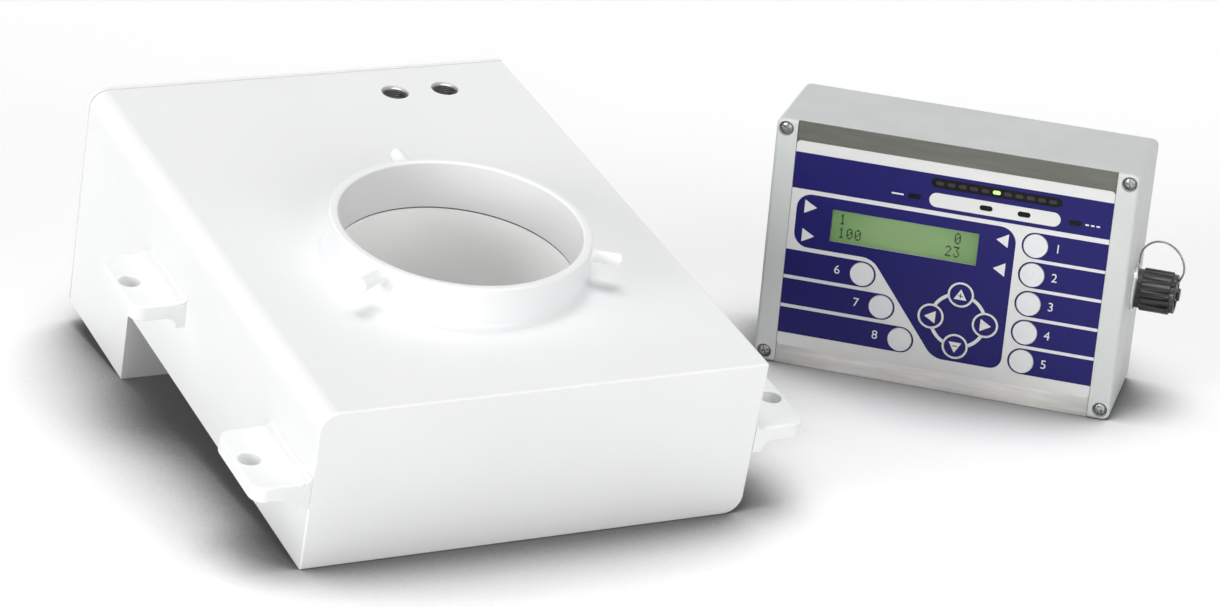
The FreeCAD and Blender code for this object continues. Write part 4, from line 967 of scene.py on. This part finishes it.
# %% Keys
def key_steps(radius, crown):
    return [(2, -15.8), (2, -3.1), (radius + 1, -3.1), (radius + 1, -2.1), (radius, -2.1), (radius, 0.45),
            (radius - 0.15, 0.7), (radius - 0.45, 0.8), (radius - 0.9, 0.78), (radius - 1.3, 0.6),
            (radius - 1.7, 0.6), (radius - 2.6, 0.7), (radius - 4.2, crown), (radius - 6, crown + 0.04)]


round_key = smooth(turned("round_key", 64, key_steps(8, 0.8), solid=True), 40)
flat_key = smooth(turned("flat_key", 64, key_steps(7, 0.74)[:9] + [(4, 0.79), (1, 0.79)], solid=True), 40)
for name, (x, z, radius) in KEY_PLACES.items():
    is_round = radius == 8
    key = copied(round_key if is_round else flat_key, f"{name}_cap", shift(x, z, 0))
    settle(key, FACE, name, key_white if is_round else key_navy, "key_white" if is_round else "key_navy", name)
for pattern in (round_key, flat_key):
    bpy.data.objects.remove(pattern)

# %% Marks on the arrow keys
def arrow_mark(name, degrees, bars):
    """A white triangle; bars are cut out of it, so that the key shows through."""
    x, z, radius = KEY_PLACES[name]
    mark = pointer(f"{name}_mark", (4.2, 0), 7.4, 4.3, 0.74, 0.86)
    moved(mark, Matrix.Rotation(math.radians(degrees), 4, "Z"))
    for half_wide, half_tall in bars:
        low = -0.55 if degrees > 0 else 0.55
        bar = block("bar_cutter", (-half_wide, half_wide), (low - half_tall, low + half_tall), (0, 2))
        cut(mark, bar)
    settle(moved(mark, shift(x, z, 0)), FACE, name, film_white, "key_white")


arrow_mark("key_plus", 90, [(1.7, 0.32), (0.32, 1.7)])
arrow_mark("key_minus", -90, [(1.7, 0.32)])
arrow_mark("key_back", 180, [])
arrow_mark("key_forward", 0, [])

# %% [markdown]
# The display shows plain numbers made of square dots. A digit is a grid of five by
# seven, kept as one number for each row, and a dot is a tiny slab that is copied.

# %% Display
DIGITS = {"0": (14, 17, 19, 21, 25, 17, 14), "1": (4, 12, 4, 4, 4, 4, 14),
          "2": (14, 17, 1, 2, 4, 8, 31), "3": (31, 2, 4, 2, 1, 17, 14)}
LINES = [(106.9, {0: "1", 14: "0"}), (97.5, {0: "1", 1: "0", 2: "0", 13: "2", 14: "3"})]
DOT_ACROSS, DOT_UP, CELL, FIRST = 0.8, 1.05, 5.5, 48.4
glass = slab("display_glass", *WINDOW, [0] * 4, -2, -1.9)
settle(glass, FACE, "control_unit", display_green, "window_clear")
dot = block("dot", (-0.395, 0.395), (-0.52, 0.52), (-1.92, -1.84))
dots = []
for middle, places in LINES:
    for cell, digit in places.items():
        for row, bits in enumerate(DIGITS[digit]):
            for column in range(5):
                if bits >> (4 - column) & 1:
                    at = shift(FIRST + CELL * cell + DOT_ACROSS * column, middle - DOT_UP * (row - 3), 0)
                    dots.append(copied(dot, "dot", at))
bpy.data.objects.remove(dot)
settle(joined("display_digits", dots), FACE, "control_unit", display_dot, "window_clear")
pane = slab("display_pane", *WINDOW, [0] * 4, -1.6, -0.03)
settle(soften(pane, 0.1, 2), FACE, "control_unit", clear_pane, "window_clear", "display_window")

# %% [markdown]
# Eleven small lenses sit in a black bar, and the middle one is lit. Each is a pill
# with a softly rounded front. Four more, longer ones show the states.

# %% Lamps
def lens(name, middle, height, length, half):
    piece = pill(name, middle, height, length, half, -3.3, 0.22)
    return soften(piece, 0.28, 3, 50)


bar_lenses = [lens("lens", BAR[0] + 7.46 * (n - 5), BAR[1], 5.2, 1.3) for n in range(11)]
lit = bar_lenses.pop(5)
lit.name = "lit_lens"
settle(joined("bar_lenses", bar_lenses), FACE, "control_unit", lamp_dark, "lamp_dark", "bar_lamps")
settle(lit, FACE, "control_unit", lamp_green, "lamp_green", "bar_lamp_lit")
state_lenses = [lens("lens", x, STATUS_HEIGHT, 8.4, 1.7) for x in STATUS_LAMPS]
settle(joined("state_lenses", state_lenses), FACE, "control_unit", lamp_black, "lamp_dark", "status_lamps")
coat("lamp_bar", lamp_black)

# %% [markdown]
# The socket's dust cap is moulded with round grooves for the fingers. It is turned,
# and then sixteen round cutters take the grooves out of its side.

# %% Dust cap and socket
SOCKET_AXIS = SOCKET @ SIDEWAYS
cap_steps = [(11.5, 2.8), (13.0, 2.8), (13.0, 5.8), (13.7, 5.8), (14.2, 6.3), (14.2, 24.8), (13.7, 25.3),
             (12.9, 25.3), (12.9, 28.1), (12.5, 28.5), (10.9, 28.5), (10.5, 28.1), (10.5, 26.9), (2.7, 26.9),
             (2.7, 23.3), (11.5, 23.3)]
cap = turned("ribbed_cap", 128, cap_steps)
grooves = []
for number in range(16):
    place = Matrix.Rotation(math.tau * number / 16, 4, "Z") @ shift(14.8, 0, 0)
    grooves.append(moved(turned("groove", 20, [(1.7, 5.2), (1.7, 25.9)], solid=True), place))
cut(cap, joined("grooves", grooves))
settle(soften(cap, 0.22, 2), SOCKET_AXIS, "dust_cap", black_plastic, "black_plastic", "dust_cap")
nut_steps = [(11.35, 0), (15.1, 0), (15.5, 0.3), (15.5, 1.25), (15.1, 1.65), (14.4, 1.7), (11.35, 1.7)]
settle(smooth(turned("round_nut", 96, nut_steps)), SOCKET_AXIS, "control_unit", nut_metal, "socket_metal",
       "socket_nut")
stud_steps = [(2.4, 23.1), (2.4, 28.7), (3.9, 28.7), (4.3, 29.0), (4.3, 30.3), (3.9, 30.8), (3.2, 30.9)]
settle(smooth(turned("stud_head", 48, stud_steps, solid=True)), SOCKET_AXIS, "control_unit", black_plastic,
       "black_plastic", "cap_stud")

# %% [markdown]
# What is left of the CAD model is inside, or plain plate that needs no change. Each
# node still gets its own finish, so that nothing is bare if the units are opened.

# %% Finishes of the other nodes
OTHER_FINISHES = {
    white_coat: ["rear_frame"],
    white_rubber: ["rear_gasket", "lid_seal"],
    winding_copper: ["receive_coil_lower", "transmit_coil", "receive_coil_upper"],
    former_resin: ["coil_former"],
    board_green: ["electronics_board", "display_board"],
    standoff_brass: ["board_standoffs", "board_spacers"],
    thread_steel: ["conduit_boss_left", "conduit_boss_right"],
    black_plastic: ["display_module"],
    nut_metal: ["socket_shell"],
    screw_steel: ["lanyard_ring", "lanyard_eye"],
}
for finish, names in OTHER_FINISHES.items():
    for name in names:
        coat(name, finish)
lanyard.data.materials.append(wire_steel)
print("finished", sum(len(names) for names in OTHER_FINISHES.values()), "more nodes")
